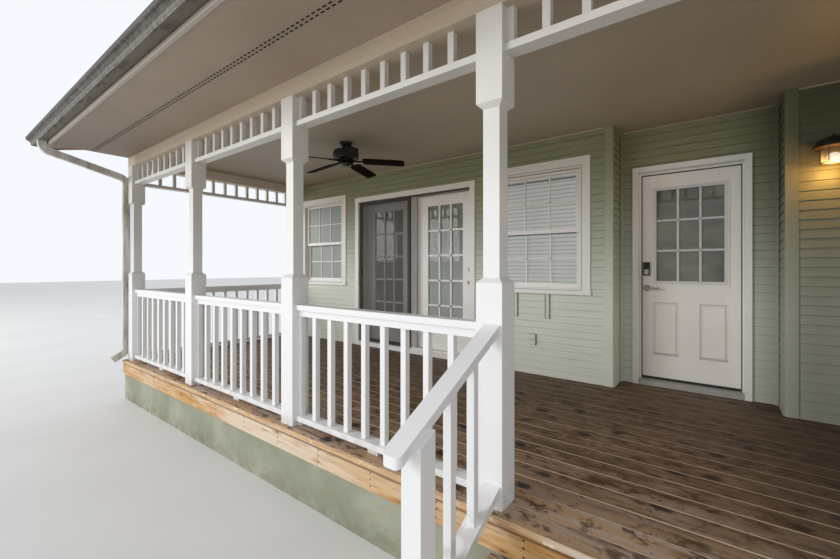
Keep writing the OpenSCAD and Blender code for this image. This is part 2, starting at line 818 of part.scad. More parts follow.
module window_hole(x) {
    block([x - window_w / 2, house_y - eps, deck_z + window_z],
        [x + window_w / 2, house_back + eps, deck_z + window_z + window_h]);
}

module wall_left() {
    color("DarkSeaGreen") place() difference() {
        house_wall(-end_x, patio_x - patio_w / 2);
        window_hole(window_left_x);
    }
}

module wall_over_patio_door() {
    color("DarkSeaGreen") place() intersection() {
        house_wall(patio_x - patio_w / 2, patio_x + patio_w / 2);
        block([-end_x, 0, deck_z + patio_h], [end_x, alcove_back, 3 * beam_top]);
    }
}

module wall_middle() {
    color("DarkSeaGreen") place() difference() {
        house_wall(patio_x + patio_w / 2, alcove_x0);
        window_hole(window_right_x);
    }
}

module wall_over_alcove() {
    color("DarkSeaGreen") place() intersection() {
        house_wall(alcove_x0, alcove_x1);
        block([-end_x, 0, deck_z + ceiling_z + ceiling_t], [end_x, alcove_back, 3 * beam_top]);
    }
}

module wall_right() {
    color("DarkSeaGreen") place() house_wall(alcove_x1, end_x);
}

module alcove_left() {
    color("DarkSeaGreen") place() union() {
        block([alcove_x0 - wall_t, house_back, deck_z], [alcove_x0, alcove_back, alcove_top]);
        block([alcove_x0 - eps, alcove_y, deck_z],
            [door_hole_x - door_hole_w / 2, alcove_back, alcove_top]);
    }
}

module alcove_right() {
    color("DarkSeaGreen") place() union() {
        block([alcove_x1, house_back, deck_z], [alcove_x1 + wall_t, alcove_back, alcove_top]);
        block([door_hole_x + door_hole_w / 2, alcove_y, deck_z],
            [alcove_x1 + eps, alcove_back, alcove_top]);
    }
}

module wall_over_front_door() {
    color("DarkSeaGreen") place()
        block([door_hole_x - door_hole_w / 2, alcove_y, deck_z + door_hole_h],
            [door_hole_x + door_hole_w / 2, alcove_back, alcove_top]);
}

// Upright boards on the corners of the alcove and at the ends of the wall
module corner_boards() {
    color("DarkSeaGreen") place() for (x = [alcove_x0 - corner_w, alcove_x1])
        block([x, house_y - casing_t, deck_z], [x + corner_w, house_y, deck_z + ceiling_z]);
}

// Casing, frame and two sashes of a double-hung window, about the middle of its sill
module window_unit(x) {
    w = window_w / 2;
    z0 = deck_z + window_z;
    z1 = z0 + window_h;
    meet = z0 + window_meet;
    outer = w + window_casing_w;
    sill_top = z0 - 5;
    translate([x, house_y, 0]) union() {
        difference() {
            block([-outer, -casing_t, sill_top], [outer, 0, z1 + window_head_h]);
            block([-w, -2 * casing_t, z0], [w, casing_t, z1]);
        }
        block([-outer - sill_horn, -casing_t - sill_nose, z0 - window_sill_h], [outer + sill_horn, 0, z0]);
        difference() {
            block([-w, -casing_t, z0], [w, wall_t - 10, z1]);
            block([sash_frame_t - w, -2 * casing_t, z0 + sash_frame_t],
                [w - sash_frame_t, wall_t, z1 - sash_frame_t]);
        }
        sash(w - sash_frame_t, meet - meet_rail_h, z1 - sash_frame_t, sash_y, meet_rail_h, sash_head);
        sash(w - sash_frame_t, z0 + sash_frame_t, meet, sash_y + sash_t, sash_foot, meet_rail_h);
    }
}

module sash(half, z0, z1, y, foot, head) {
    difference() {
        block([-half, y, z0], [half, y + sash_t, z1]);
        block([stile_w - half, y - eps, z0 + foot], [half - stile_w, y + sash_t + eps, z1 - head]);
    }
}

module window_left() {
    color("WhiteSmoke") place() window_unit(window_left_x);
}

module window_right() {
    color("WhiteSmoke") place() window_unit(window_right_x);
}

module sash_glass(x) {
    half = window_w / 2 - sash_frame_t - stile_w;
    z0 = deck_z + window_z;
    z1 = z0 + window_h;
    meet = z0 + window_meet;
    upper_y = sash_y + sash_t / 2;
    lower_y = upper_y + sash_t;
    translate([x, house_y, 0]) {
        block([-half, upper_y, meet], [half, upper_y + glass_t, z1 - sash_frame_t - sash_head]);
        block([-half, lower_y, z0 + sash_frame_t + sash_foot], [half, lower_y + glass_t, meet - meet_rail_h]);
    }
}

// Fixed panes: the sashes of both windows and the patio door's fixed leaf
module window_glass() {
    color("LightSteelBlue") place() {
        sash_glass(window_left_x);
        sash_glass(window_right_x);
        translate([patio_fixed_x0, patio_leaf_y, 0]) leaf_glass();
    }
}

// Casing, jambs, stops, sill and fixed hinge halves of the front door
module front_door_frame() {
    half = door_hole_w / 2;
    inside = half - jamb_t;
    z1 = deck_z + door_hole_h;
    sill_top = deck_z + door_z - leaf_clear;
    outer = inside + reveal + door_casing_w;
    stop_y = wall_t - leaf_t - leaf_clear;
    color("WhiteSmoke") place() {
        translate([door_hole_x, alcove_y, 0]) union() {
            difference() {
                block([-outer, -door_casing_t, deck_z], [outer, 0, z1 - jamb_t + reveal + door_casing_w]);
                block([-inside, -2 * door_casing_t, 0], [inside, eps, z1 - jamb_t]);
            }
            difference() {
                block([-half, -eps, deck_z], [half, wall_t, z1]);
                block([-inside, -2 * eps, 0], [inside, wall_t + eps, z1 - jamb_t]);
            }
            difference() {
                block([-inside - eps, stop_y - stop_d, deck_z], [inside + eps, stop_y, z1 - jamb_t + eps]);
                block([stop_w - inside, 0, 0], [inside - stop_w, wall_t, z1 - jamb_t - stop_w]);
            }
            block([-inside - eps, -door_casing_t, deck_z], [inside + eps, wall_t, sill_top]);
        }
        translate([door_x, alcove_y, 0])
            hinge_set(door_w / 2 + leaf_clear / 2, wall_t, deck_z + door_z, door_h, 1, true);
    }
}

// Knuckles, pins and plates of the hinges of a leaf; side 1 is hinged at the right
module hinge_set(x, y, z, h, side, fixed) {
    end_h = hinge_h * 0.3;
    mid_h = hinge_h - 2 * end_h - 2 * knuckle_gap;
    module knuckle(long, toward) {
        plate_x = toward > 0 ? 0 : -hinge_plate_w;
        cylinder(h = long, r = knuckle_r);
        block([plate_x, -knuckle_r, 0], [plate_x + hinge_plate_w, hinge_plate_t - knuckle_r, long]);
    }
    for (c = [z + hinge_low, z + h / 2 + hinge_up, z + h - hinge_top])
        translate([x, y + knuckle_r, c - hinge_h / 2]) {
            if (fixed) {
                cylinder(h = hinge_h, r = pin_r);
                for (k = [0, hinge_h - end_h]) translate([0, 0, k]) knuckle(end_h, side);
            } else {
                translate([0, 0, end_h + knuckle_gap]) difference() {
                    knuckle(mid_h, -side);
                    translate([0, 0, -eps]) cylinder(h = hinge_h, r = pin_r + pin_clear);
                }
            }
        }
}

// Front door leaf with an opening for its light and two raised panels below
module front_door() {
    z0 = deck_z + door_z;
    half = door_w / 2;
    y0 = wall_t - leaf_t;
    color("WhiteSmoke") place() translate([door_x, alcove_y, 0]) union() {
        difference() {
            block([-half, y0, z0], [half, wall_t, z0 + door_h]);
            block([-lite_w / 2, y0 - eps, z0 + lite_z], [lite_w / 2, wall_t + eps, z0 + lite_z + lite_h]);
            for (x = [-panel_x, panel_x]) translate([x, y0, z0 + panel_z]) panel_cut();
        }
        for (x = [-panel_x, panel_x]) translate([x, y0, z0 + panel_z]) panel_field();
        difference() {
            block([-lite_w / 2 - lite_frame, y0 - 10, z0 + lite_z - lite_frame],
                [lite_w / 2 + lite_frame, y0, z0 + lite_z + lite_h + lite_frame]);
            block([-lite_w / 2, y0 - 20, z0 + lite_z], [lite_w / 2, wall_t, z0 + lite_z + lite_h]);
        }
        hinge_set(half + leaf_clear / 2, wall_t, z0, door_h, 1, false);
    }
}

// Sunk border of a pressed panel, and the raised field inside it
module panel_cut() {
    block([-panel_w / 2, -eps, 0], [panel_w / 2, panel_groove, panel_h]);
}

module panel_field() {
    inset = 25;
    block([inset - panel_w / 2, 1, inset], [panel_w / 2 - inset, panel_groove + 1, panel_h - inset]);
}

module front_door_glass() {
    z0 = deck_z + door_z + lite_z;
    y0 = alcove_y + wall_t - leaf_t / 2;
    color("LightSteelBlue") place() block([door_x - lite_w / 2, y0 - glass_t / 2, z0],
        [door_x + lite_w / 2, y0 + glass_t / 2, z0 + lite_h]);
}

// Keypad, deadbolt turn, and a lever on each face of the front door
module front_door_lock() {
    x = door_x - door_w / 2 + lock_backset;
    y0 = alcove_y + wall_t - leaf_t;
    y1 = alcove_y + wall_t;
    color("DimGray") place() {
        block([x - keypad_w / 2, y0 - 22, deck_z + keypad_z - keypad_h / 2],
            [x + keypad_w / 2, y0, deck_z + keypad_z + keypad_h / 2]);
        translate([x, y1, deck_z + keypad_z]) rotate([-90, 0, 0]) cylinder(h = 25, r = keypad_w / 2);
        for (s = [0, 1])
            translate([x, s == 0 ? y0 : y1, deck_z + lever_z]) mirror([0, s == 0 ? 1 : 0, 0]) {
                rotate([-90, 0, 0]) cylinder(h = rose_t, r = rose_r);
                rotate([-90, 0, 0]) cylinder(h = handle_reach - 8, r = lever_r);
                block([-8, handle_reach - 18, -9], [lever_l, handle_reach, 9]);
            }
    }
}

module patio_leaf_body() {
    difference() {
        block([0, 0, patio_leaf_z], [patio_leaf_w, leaf_t, patio_leaf_z + patio_leaf_h]);
        block([leaf_stile, -eps, patio_leaf_z + leaf_foot],
            [patio_leaf_w - leaf_stile, leaf_t + eps, patio_leaf_z + patio_leaf_h - leaf_head]);
    }
}

module leaf_glass() {
    block([leaf_stile, leaf_t / 2 - glass_t / 2, patio_leaf_z + leaf_foot],
        [patio_leaf_w - leaf_stile, leaf_t / 2 + glass_t / 2, patio_leaf_z + patio_leaf_h - leaf_head]);
}

// Jambs, head, mullion and sill of the patio door, with the track of its screen
module patio_door_frame() {
    half = patio_w / 2;
    z1 = deck_z + patio_h;
    outer = half + patio_casing_w;
    stop_y = patio_depth - leaf_t - leaf_clear;
    color("WhiteSmoke") place() translate([patio_x, house_y, 0]) union() {
        difference() {
            block([-outer, -casing_t, deck_z], [outer, 0, z1 + patio_casing_w]);
            block([-half, -2 * casing_t, 0], [half, eps, z1]);
        }
        difference() {
            block([-half, -casing_t, deck_z], [half, patio_depth, z1]);
            block([patio_jamb - half, -2 * casing_t, deck_z + patio_sill],
                [half - patio_jamb, patio_depth + eps, z1 - patio_jamb]);
        }
        block([-mullion_w / 2, screen_clear_y, deck_z + patio_sill - eps],
            [mullion_w / 2, patio_depth, z1 - patio_jamb + eps]);
        hinge_set(mullion_w / 2 + leaf_clear / 2, patio_depth, patio_leaf_z, patio_leaf_h, -1, true);
        for (z = [deck_z + patio_sill - eps, z1 - patio_jamb - track_h + eps])
            block([patio_jamb - half - eps, screen_y + screen_t / 2 - track_t / 2, z],
                [half - patio_jamb + eps, screen_y + screen_t / 2 + track_t / 2, z + track_h]);
        for (s = [0, 1]) mirror([s, 0, 0])
            block([patio_jamb - half - eps, stop_y - stop_d, deck_z + patio_sill - eps],
                [patio_jamb - half + stop_w, stop_y, z1 - patio_jamb + eps]);
    }
}

// Leaf that stands still, held by lugs in its jamb and in the post between the leaves
module patio_fixed_leaf() {
    color("WhiteSmoke") place() translate([patio_fixed_x0, patio_leaf_y, 0]) union() {
        patio_leaf_body();
        for (z = [lug_z, patio_leaf_h - lug_z - lug_h]) {
            block([-leaf_clear, 10, patio_leaf_z + z], [eps, leaf_t - 10, patio_leaf_z + z + lug_h]);
            block([patio_leaf_w - eps, 10, patio_leaf_z + z],
                [patio_leaf_w + latch_clear, leaf_t - 10, patio_leaf_z + z + lug_h]);
        }
    }
}

module patio_leaf() {
    color("WhiteSmoke") place() union() {
        translate([patio_leaf_x0, patio_leaf_y, 0]) patio_leaf_body();
        translate([patio_x, house_y, 0])
            hinge_set(mullion_w / 2 + leaf_clear / 2, patio_depth, patio_leaf_z, patio_leaf_h, -1, false);
    }
}

module patio_leaf_glass() {
    color("LightSteelBlue") place() translate([patio_leaf_x0, patio_leaf_y, 0]) leaf_glass();
}

// Round knob on each face of the patio leaf, with a deadbolt above
module patio_lock() {
    x = patio_leaf_x0 + patio_leaf_w - knob_backset;
    color("Goldenrod") place() translate([x, patio_leaf_y, deck_z + knob_z])
        for (s = [0, 1]) translate([0, s == 0 ? 0 : leaf_t, 0]) mirror([0, s == 0 ? 1 : 0, 0])
            rotate([-90, 0, 0]) {
                cylinder(h = 8, r = rose_r);
                cylinder(h = 30, r = lever_r);
                translate([0, 0, 38]) sphere(r = 24);
                translate([0, -bolt_up, 0]) cylinder(h = 18, r = 28);
            }
}

// Sliding insect screen with its frame, its net and a latch
module insect_screen() {
    x0 = patio_x - patio_w / 2 + patio_jamb + run_clear;
    z0 = deck_z + patio_sill + run_clear;
    z1 = deck_z + patio_h - patio_jamb - run_clear;
    y0 = house_y + screen_y;
    rim = screen_rim;
    mid = y0 + screen_t / 2;
    color("DarkSlateGray") place() difference() {
        union() {
            difference() {
                block([x0, y0, z0], [x0 + screen_w, y0 + screen_t, z1]);
                block([x0 + rim, y0 - eps, z0 + rim], [x0 + screen_w - rim, y0 + screen_t + eps, z1 - rim]);
            }
            block([x0 + rim - eps, mid - 1, z0 + rim - eps],
                [x0 + screen_w - rim + eps, mid + 1, z1 - rim + eps]);
            block([x0 + 6, y0 - 14, deck_z + 1050], [x0 + 44, y0, deck_z + 1150]);
        }
        for (z = [z0 - eps, z1 - track_h + eps])
            block([x0 - eps, mid - track_t / 2 - pin_clear, z],
                [x0 + screen_w + eps, mid + track_t / 2 + pin_clear, z + track_h]);
    }
}

// Canopy, stem, motor housing and the cup on the fixed shaft
module fan_housing() {
    r = fan_housing_d / 2;
    canopy_r = 75;
    canopy_h = 62;
    stem_r = 22;
    motor_top = canopy_h + 22;
    motor_foot = fan_drop - 26;
    cup_top = fan_drop + 16;
    cup_r = 55;
    color("Black") place() translate([fan_x, fan_y, fan_ceiling]) rotate_extrude() polygon([[0, 0],
        [canopy_r, 0], [canopy_r - 3, -20], [stem_r + 18, -canopy_h], [stem_r, -canopy_h - 4],
        [stem_r, 4 - motor_top], [r - 40, -motor_top], [r - 8, -motor_top - 12], [r, -motor_top - 31],
        [r, 19 - motor_foot], [r - 12, 2 - motor_foot], [shaft_r, -motor_foot], [shaft_r, -cup_top],
        [cup_r - 5, -cup_top], [cup_r, -cup_top - 9], [cup_r - 10, -cup_top - 36], [0, -cup_top - 40]]);
}

// Rotor plate with five arms and twisted, slightly drooping blades
module fan_blades() {
    color("SaddleBrown") place() translate([fan_x, fan_y, blade_z]) difference() {
        union() {
            translate([0, 0, -10]) cylinder(h = 25, r = hub_r);
            for (i = [0:4]) rotate([0, 0, blade_turn + 72 * i]) {
                translate([arm_root, -arm_w / 2, -6]) cube([blade_root - arm_root + 30, arm_w, 8]);
                translate([blade_root, 0, 0]) rotate([0, blade_droop, 0])
                    rotate([-blade_pitch, 0, 0]) blade();
            }
        }
        translate([0, 0, -50]) cylinder(h = 100, r = shaft_r + pin_clear);
    }
}

// Flat blade with round corners, narrower where its arm holds it
module blade() {
    len = fan_d / 2 - blade_root;
    corner = 30;
    edge = blade_w / 2 - corner;
    translate([0, 0, -blade_t / 2]) linear_extrude(blade_t) union() {
        translate([corner, -blade_w / 2]) square([len - 2 * corner, blade_w]);
        translate([0, -edge]) square([len, 2 * edge]);
        for (x = [corner, len - corner]) for (y = [-edge, edge]) translate([x, y]) circle(corner);
    }
}

// Hood, finial and wire cage of the lantern, on an arm from its wall plate
module porch_light() {
    z = deck_z + light_z;
    r = light_d / 2;
    arm_z = z + hood_h / 2;
    cage_r = jar_r + wire_t + 2;
    color("DarkSlateGray") place() translate([light_x, house_y, 0]) union() {
        translate([0, -12, arm_z]) rotate([-90, 0, 0]) cylinder(h = 12, r = 58);
        block([-11, -light_arm, arm_z - 11], [11, 0, arm_z + 11]);
        translate([0, -light_arm, z]) {
            rotate_extrude() polygon(concat([[0, 0], [r, 0]],
                [for (a = [0:15:75]) [r * cos(a), 4 + hood_h * sin(a)]],
                [[12, hood_h + 4], [10, hood_h + finial_h - 8], [6, hood_h + finial_h],
                    [0, hood_h + finial_h]]));
            rotate_extrude() translate([cage_r - wire_t, -jar_h]) square([wire_t, wire_t]);
            for (a = [0:60:300]) rotate([0, 0, a])
                translate([cage_r - wire_t, -wire_t / 2, -jar_h]) cube([wire_t - 0.5, wire_t, jar_h + eps]);
        }
    }
}

// Glass jar under the hood
module porch_light_jar() {
    color("Khaki") place() translate([light_x, house_y - light_arm, deck_z + light_z])
        rotate_extrude() polygon([[0, -jar_h + 4], [jar_r - 16, -jar_h + 4], [jar_r - 5, -jar_h + 9],
            [jar_r, -jar_h + 20], [jar_r, 0], [0, 0]]);
}

foundation();
floor_joists();
rim_boards();
deck_boards();
stair_stringers();
stair_treads();
porch_post(1);  // post_1
porch_post(2);  // post_2
porch_post(3);  // post_3
porch_post(4);  // post_4
porch_post(5);  // post_5
porch_post(6);  // post_6
wall_posts();
railing_bay(1);  // railing_bay_1
railing_bay(2);  // railing_bay_2
railing_bay(3);  // railing_bay_3
railing_bay(5);  // railing_bay_5
railing_end(-1);  // railing_left_end
railing_end(1);  // railing_right_end
stair_rail_left();
stair_rail_right();
frieze_front();
frieze_end(-1);  // frieze_left_end
frieze_end(1);  // frieze_right_end
porch_beams();
ceiling();
soffit();
fascia_boards();
rafters();
roof_sheathing();
roof_shingles();
gable_ends();
gutter();
downspouts();
wall_left();
wall_over_patio_door();
wall_middle();
wall_over_alcove();
wall_right();
alcove_left();
alcove_right();
wall_over_front_door();
corner_boards();
window_left();
window_right();
window_glass();
front_door_frame();
front_door();
front_door_glass();
front_door_lock();
patio_door_frame();
patio_fixed_leaf();
patio_leaf();
patio_leaf_glass();
patio_lock();
insect_screen();
fan_housing();
fan_blades();
porch_light();
porch_light_jar();
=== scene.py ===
"""A roofed timber front porch on the front wall of a house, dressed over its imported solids."""
import math
import random

import bmesh
import bpy
from mathutils import Matrix, Vector


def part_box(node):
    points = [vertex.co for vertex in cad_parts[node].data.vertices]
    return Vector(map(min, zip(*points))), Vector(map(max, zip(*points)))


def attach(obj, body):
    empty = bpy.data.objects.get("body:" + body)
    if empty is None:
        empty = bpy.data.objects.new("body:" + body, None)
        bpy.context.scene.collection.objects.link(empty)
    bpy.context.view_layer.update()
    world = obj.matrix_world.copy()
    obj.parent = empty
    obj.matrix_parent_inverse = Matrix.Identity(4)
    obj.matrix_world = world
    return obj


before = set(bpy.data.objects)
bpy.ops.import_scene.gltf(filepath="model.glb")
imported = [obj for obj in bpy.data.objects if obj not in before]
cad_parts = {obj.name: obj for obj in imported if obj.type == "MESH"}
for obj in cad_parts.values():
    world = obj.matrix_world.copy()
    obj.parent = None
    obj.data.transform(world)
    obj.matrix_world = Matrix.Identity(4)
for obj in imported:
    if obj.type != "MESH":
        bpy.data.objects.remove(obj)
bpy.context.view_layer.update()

# Camera, ground and light. The camera stands outside the entry at eye height and looks along the
# porch. The floor is plain and pale, the sky gives soft light from all round, and a large low lamp
# at the front left reaches in under the roof, so the walls are lighter near the floor and on the left.
camera = bpy.data.objects.new("camera", bpy.data.cameras.new("camera"))
camera.location = (1.718, -2.828, 1.676)
camera.rotation_euler = (math.radians(90), 0, math.radians(37.46))
camera.data.lens = 16.97
camera.data.sensor_width = 36
camera.data.shift_y = -0.01425
camera.data.clip_end = 200
bpy.context.scene.collection.objects.link(camera)
bpy.context.scene.camera = camera
bpy.context.scene.view_settings.view_transform = "Standard"

lamp = bpy.data.objects.new("soft_lamp", bpy.data.lights.new("soft_lamp", "AREA"))
lamp.data.energy = 2500
lamp.data.size = 10
lamp.location = (-15, -18, 7.0)
lamp.rotation_euler = (Vector((-0.5, 0, 1.2)) - lamp.location).to_track_quat("-Z", "Y").to_euler()
bpy.context.scene.collection.objects.link(lamp)


class Link:
    """A socket inside a finish, so that masks and sums are written as plain arithmetic."""

    def __init__(self, finish, socket):
        self.finish = finish
        self.socket = socket

    def maths(self, operation, *values):
        return self.finish.node("Math", {"operation": operation}, values)

    def __add__(self, other):
        return self.maths("ADD", self, other)

    def __sub__(self, other):
        return self.maths("SUBTRACT", self, other)

    def __rsub__(self, other):
        return self.maths("SUBTRACT", other, self)

    def __mul__(self, other):
        return self.maths("MULTIPLY", self, other)

    def __truediv__(self, other):
        return self.maths("DIVIDE", self, other)

    def __mod__(self, other):
        return self.maths("FLOORED_MODULO", self, other)

    def __gt__(self, other):
        return self.maths("GREATER_THAN", self, other)

    def __lt__(self, other):
        return self.maths("LESS_THAN", self, other)

    def __abs__(self):
        return self.maths("ABSOLUTE", self)

    def floor(self):
        return self.maths("FLOOR", self)

    def smooth(self, low, high):
        """0 below low, 1 above high, and a soft step between."""
        return self.finish.node("MapRange", {"interpolation_type": "SMOOTHSTEP"}, (self, low, high))

    __radd__ = __add__
    __rmul__ = __mul__


class Finish:
    """A procedural material on one Principled shader."""

    def __init__(self, name, rough=0.5, metal=0.0):
        self.material = bpy.data.materials.new(name)
        self.material.use_nodes = True
        self.tree = self.material.node_tree
        self.shader = self.tree.nodes["Principled BSDF"]
        self.shader.inputs["Roughness"].default_value = rough
        self.shader.inputs["Metallic"].default_value = metal

    def node(self, kind, settings, values, output=0):
        """Adds a node: its settings first, then the values or links of its sockets."""
        made = self.tree.nodes.new("ShaderNode" + kind)
        for key, setting in settings.items():
            if key == "stops":
                for n, (place, colour) in enumerate(setting):
                    stop = made.color_ramp.elements[n] if n < 2 else made.color_ramp.elements.new(place)
                    stop.position = place
                    stop.color = (*colour, 1)
            else:
                setattr(made, key, setting)
        for key, value in (values.items() if isinstance(values, dict) else enumerate(values)):
            if isinstance(value, Link):
                self.tree.links.new(value.socket, made.inputs[key])
            elif isinstance(value, tuple) and made.inputs[key].type == "RGBA":
                made.inputs[key].default_value = (*value, 1)
            else:
                made.inputs[key].default_value = value
        return Link(self, made.outputs[output])

    def place(self, scale=(1, 1, 1)):
        """The point on the object in metres, stretched by a scale."""
        point = self.node("TexCoord", {}, (), "Object")
        return self.node("Mapping", {}, {"Vector": point, "Scale": scale})

    def axis(self, name):
        return self.node("SeparateXYZ", {}, (self.place(),), name)

    def noise(self, scale, stretch=(1, 1, 1), detail=3.0, rough=0.55):
        values = {"Vector": self.place(stretch), "Scale": scale, "Detail": detail, "Roughness": rough}
        return self.node("TexNoise", {}, values)

    def mix(self, factor, first, second):
        return self.node("Mix", {"data_type": "RGBA"}, {0: factor, 6: first, 7: second}, 2)

    def ramp(self, factor, *stops):
        return self.node("ValToRGB", {"stops": stops}, (factor,))

    def mottle(self, scale, first, second, **noise):
        """Soft patches of two tones."""
        return self.ramp(self.noise(scale, **noise), (0.3, first), (0.7, second))

    def feed(self, name, value):
        if isinstance(value, Link):
            self.tree.links.new(value.socket, self.shader.inputs[name])
        elif isinstance(value, tuple):
            self.shader.inputs[name].default_value = (*value, 1)
        else:
            self.shader.inputs[name].default_value = value

    def bump(self, height, distance, strength=0.5):
        values = {"Strength": strength, "Distance": distance, "Height": height}
        self.feed("Normal", self.node("Bump", {}, values))

    def on(self, *nodes):
        """Puts the finish on CAD nodes."""
        for name in nodes:
            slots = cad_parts[name].data.materials
            slots.clear()
            slots.append(self.material)


def stand(bm, name, finish, slot, body="porch"):
    """Makes a finished piece from a bmesh and lets it ride on a body."""
    mesh = bpy.data.meshes.new(name)
    bmesh.ops.recalc_face_normals(bm, faces=bm.faces)
    bm.to_mesh(mesh)
    bm.free()
    piece = bpy.data.objects.new(name, mesh)
    bpy.context.scene.collection.objects.link(piece)
    mesh.materials.append(finish.material)
    if slot is None:
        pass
    else:
        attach(piece, body)


ground = Finish("pale_floor", rough=0.9)
ground.feed("Base Color", ground.mottle(0.8, (0.74, 0.73, 0.71), (0.78, 0.77, 0.75)))
floor = bmesh.new()
bmesh.ops.create_grid(floor, x_segments=1, y_segments=1, size=60)
stand(floor, "studio_floor", ground, None)

world = bpy.data.worlds.new("soft_sky")
bpy.context.scene.world = world
world.use_nodes = True
sky = world.node_tree.nodes["Background"]
sky.inputs["Color"].default_value = (0.92, 0.95, 1.0, 1)
path = world.node_tree.nodes.new("ShaderNodeLightPath")
level = world.node_tree.nodes.new("ShaderNodeMapRange")
level.inputs["To Min"].default_value = 0.90
level.inputs["To Max"].default_value = 1.0
world.node_tree.links.new(path.outputs["Is Camera Ray"], level.inputs["Value"])
world.node_tree.links.new(level.outputs["Result"], sky.inputs["Strength"])


# Foundation: painted masonry walls that carry the floor and the house wall. The paint is the sage
# of the siding, faded and splashed with soil near the ground.
def add_box(bm, low, high):
    """Adds a box between two corners to a bmesh and gives its vertices."""
    low, high = Vector(low), Vector(high)
    place = Matrix.Translation((low + high) / 2) @ Matrix.Diagonal((*(high - low), 1))
    return bmesh.ops.create_cube(bm, size=1, matrix=place)["verts"]


masonry = Finish("painted_masonry", rough=0.85)
faded = masonry.mix(masonry.noise(2.2, detail=6).smooth(0.35, 0.7), (0.275, 0.29, 0.21), (0.40, 0.40, 0.31))
splash = masonry.noise(7, (1, 1, 2.5), detail=6, rough=0.65).smooth(0.50, 0.64)
faded = masonry.mix(splash * 0.25, faded, (0.34, 0.25, 0.16))
soil = (1 - masonry.axis("Z").smooth(0.0, 0.22)) * masonry.noise(9, detail=5).smooth(0.35, 0.65)
masonry.feed("Base Color", masonry.mix(soil * 0.5, faded, (0.18, 0.13, 0.09)))
masonry.bump(masonry.noise(60, detail=6), 0.004)
masonry.on("foundation")


# Framing: joists and rafters of sawn softwood under a roof sheathing of strand board, nailed together
# and left bare. It shows only under the floor, at the eave and from behind.
def wood_grain(finish, along, scale):
    """Long streaks of grain along an axis, as a value between 0 and 1."""
    stretch = [scale, scale, scale]
    stretch["XYZ".index(along)] = scale * 0.06
    return finish.noise(1.0, tuple(stretch), detail=6, rough=0.62)


framing = Finish("sawn_softwood", rough=0.75)
framing_grain = wood_grain(framing, "Y", 60)
framing_tone = framing.ramp(framing_grain, (0.35, (0.36, 0.24, 0.12)), (0.65, (0.55, 0.40, 0.23)))
framing.feed("Base Color", framing_tone)
framing.bump(framing_grain, 0.002)
framing.on("floor_joists", "rafters")

sheathing = Finish("strand_board", rough=0.8)
flakes = sheathing.node("TexVoronoi", {}, {"Vector": sheathing.place((30, 60, 30)), "Scale": 1.0}, "Color")
flake_draw = sheathing.node("SeparateColor", {}, (flakes,))
flake_tone = sheathing.ramp(flake_draw, (0.1, (0.38, 0.26, 0.14)), (0.9, (0.58, 0.44, 0.27)))
sheathing.feed("Base Color", flake_tone)
sheathing.on("roof_sheathing")


# Rim boards and stair stringers: planed pine boards in front of the joists, clear coated and gone
# golden. They butt over a joist, and each joist takes three nails.
rim_low, rim_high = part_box("rim_boards")
rim_joint_x = -0.479
rim_length = 4.88
pale_x = -1.15
nail_pitch = 0.486
nail_side = 0.018
nail_heights = (0.034, 0.076, 0.112)
rim = Finish("golden_pine", rough=0.5)
rim_grain = wood_grain(rim, "X", 38)
rim_tone = rim.ramp(rim_grain, (0.3, (0.36, 0.15, 0.035)), (0.5, (0.58, 0.31, 0.09)),
                    (0.72, (0.70, 0.46, 0.20)))
bleached = rim.noise(1.3, (1, 1, 6), detail=6, rough=0.65).smooth(0.40, 0.58)
rim_tone = rim.mix(bleached * 0.62, rim_tone, (0.68, 0.54, 0.37))
pale = 1 - abs(rim.axis("X") - pale_x + (bleached - 0.5) * 0.5).smooth(0.5, 1.3)
rim_tone = rim.mix(pale * 0.72, rim_tone, (0.78, 0.66, 0.52))
knots = rim.node("TexVoronoi", {}, {"Vector": rim.place((3.2, 3.2, 11)), "Scale": 1.0})
rim_tone = rim.mix((1 - knots.smooth(0.10, 0.30)) * 0.5, rim_tone, (0.42, 0.19, 0.05))
rim_tone = rim.mix((1 - knots.smooth(0.03, 0.11)) * 0.9, rim_tone, (0.12, 0.05, 0.02))
checks = rim.noise(1.0, (2.5, 2.5, 70), detail=6, rough=0.7).smooth(0.58, 0.64)
rim_tone = rim.mix(checks * 0.7, rim_tone, (0.22, 0.10, 0.04))
# Painted shadow: the top of the rim darkens just under the overhang of the deck boards.
shade = rim.axis("Z").smooth(rim_high.z - 0.024, rim_high.z - 0.018)
rim_tone = rim.mix(shade * 0.7, rim_tone, (0.13, 0.06, 0.025))
joint = abs((rim.axis("X") - rim_joint_x + rim_length / 2) % rim_length - rim_length / 2) < 0.0012
rim.feed("Base Color", rim.mix(joint, rim_tone, (0.05, 0.03, 0.02)))
rim.bump(rim_grain, 0.0015)
rim.on("rim_boards", "stair_stringers")

steel = Finish("nail_steel", rough=0.4, metal=0.8)
steel.feed("Base Color", steel.mottle(300, (0.035, 0.025, 0.02), (0.10, 0.08, 0.07)))
nails = bmesh.new()
upright = Matrix.Rotation(math.radians(90), 4, "X")
first = math.ceil((rim_low.x - rim_joint_x) / nail_pitch)
last = math.floor((rim_high.x - rim_joint_x) / nail_pitch)
for n in range(first, last + 1):
    for height in nail_heights:
        spot = Vector((rim_joint_x + n * nail_pitch + nail_side, rim_low.y, rim_low.z + height))
        bmesh.ops.create_cone(nails, cap_ends=True, segments=8, radius1=0.0050, radius2=0.0050, depth=0.002,
                              matrix=Matrix.Translation(spot) @ upright)
stand(nails, "rim_nails", steel, "rim_lumber")


# Deck boards and treads: softwood boards laid side by side, stained brown and weathered. Their long
# edges show a thin pale line, partly wear and partly painted highlight. Knots show dark, the front edge
# has gone honey and white, and painted shade darkens the boards toward the back and the right end.
deck_low, deck_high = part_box("deck_boards")
board_pitch = 0.145
tread_pitch = 0.28
walked_x = 1.85
screwed_to_y = 1.44
screw_offsets = (0.030, 0.108)


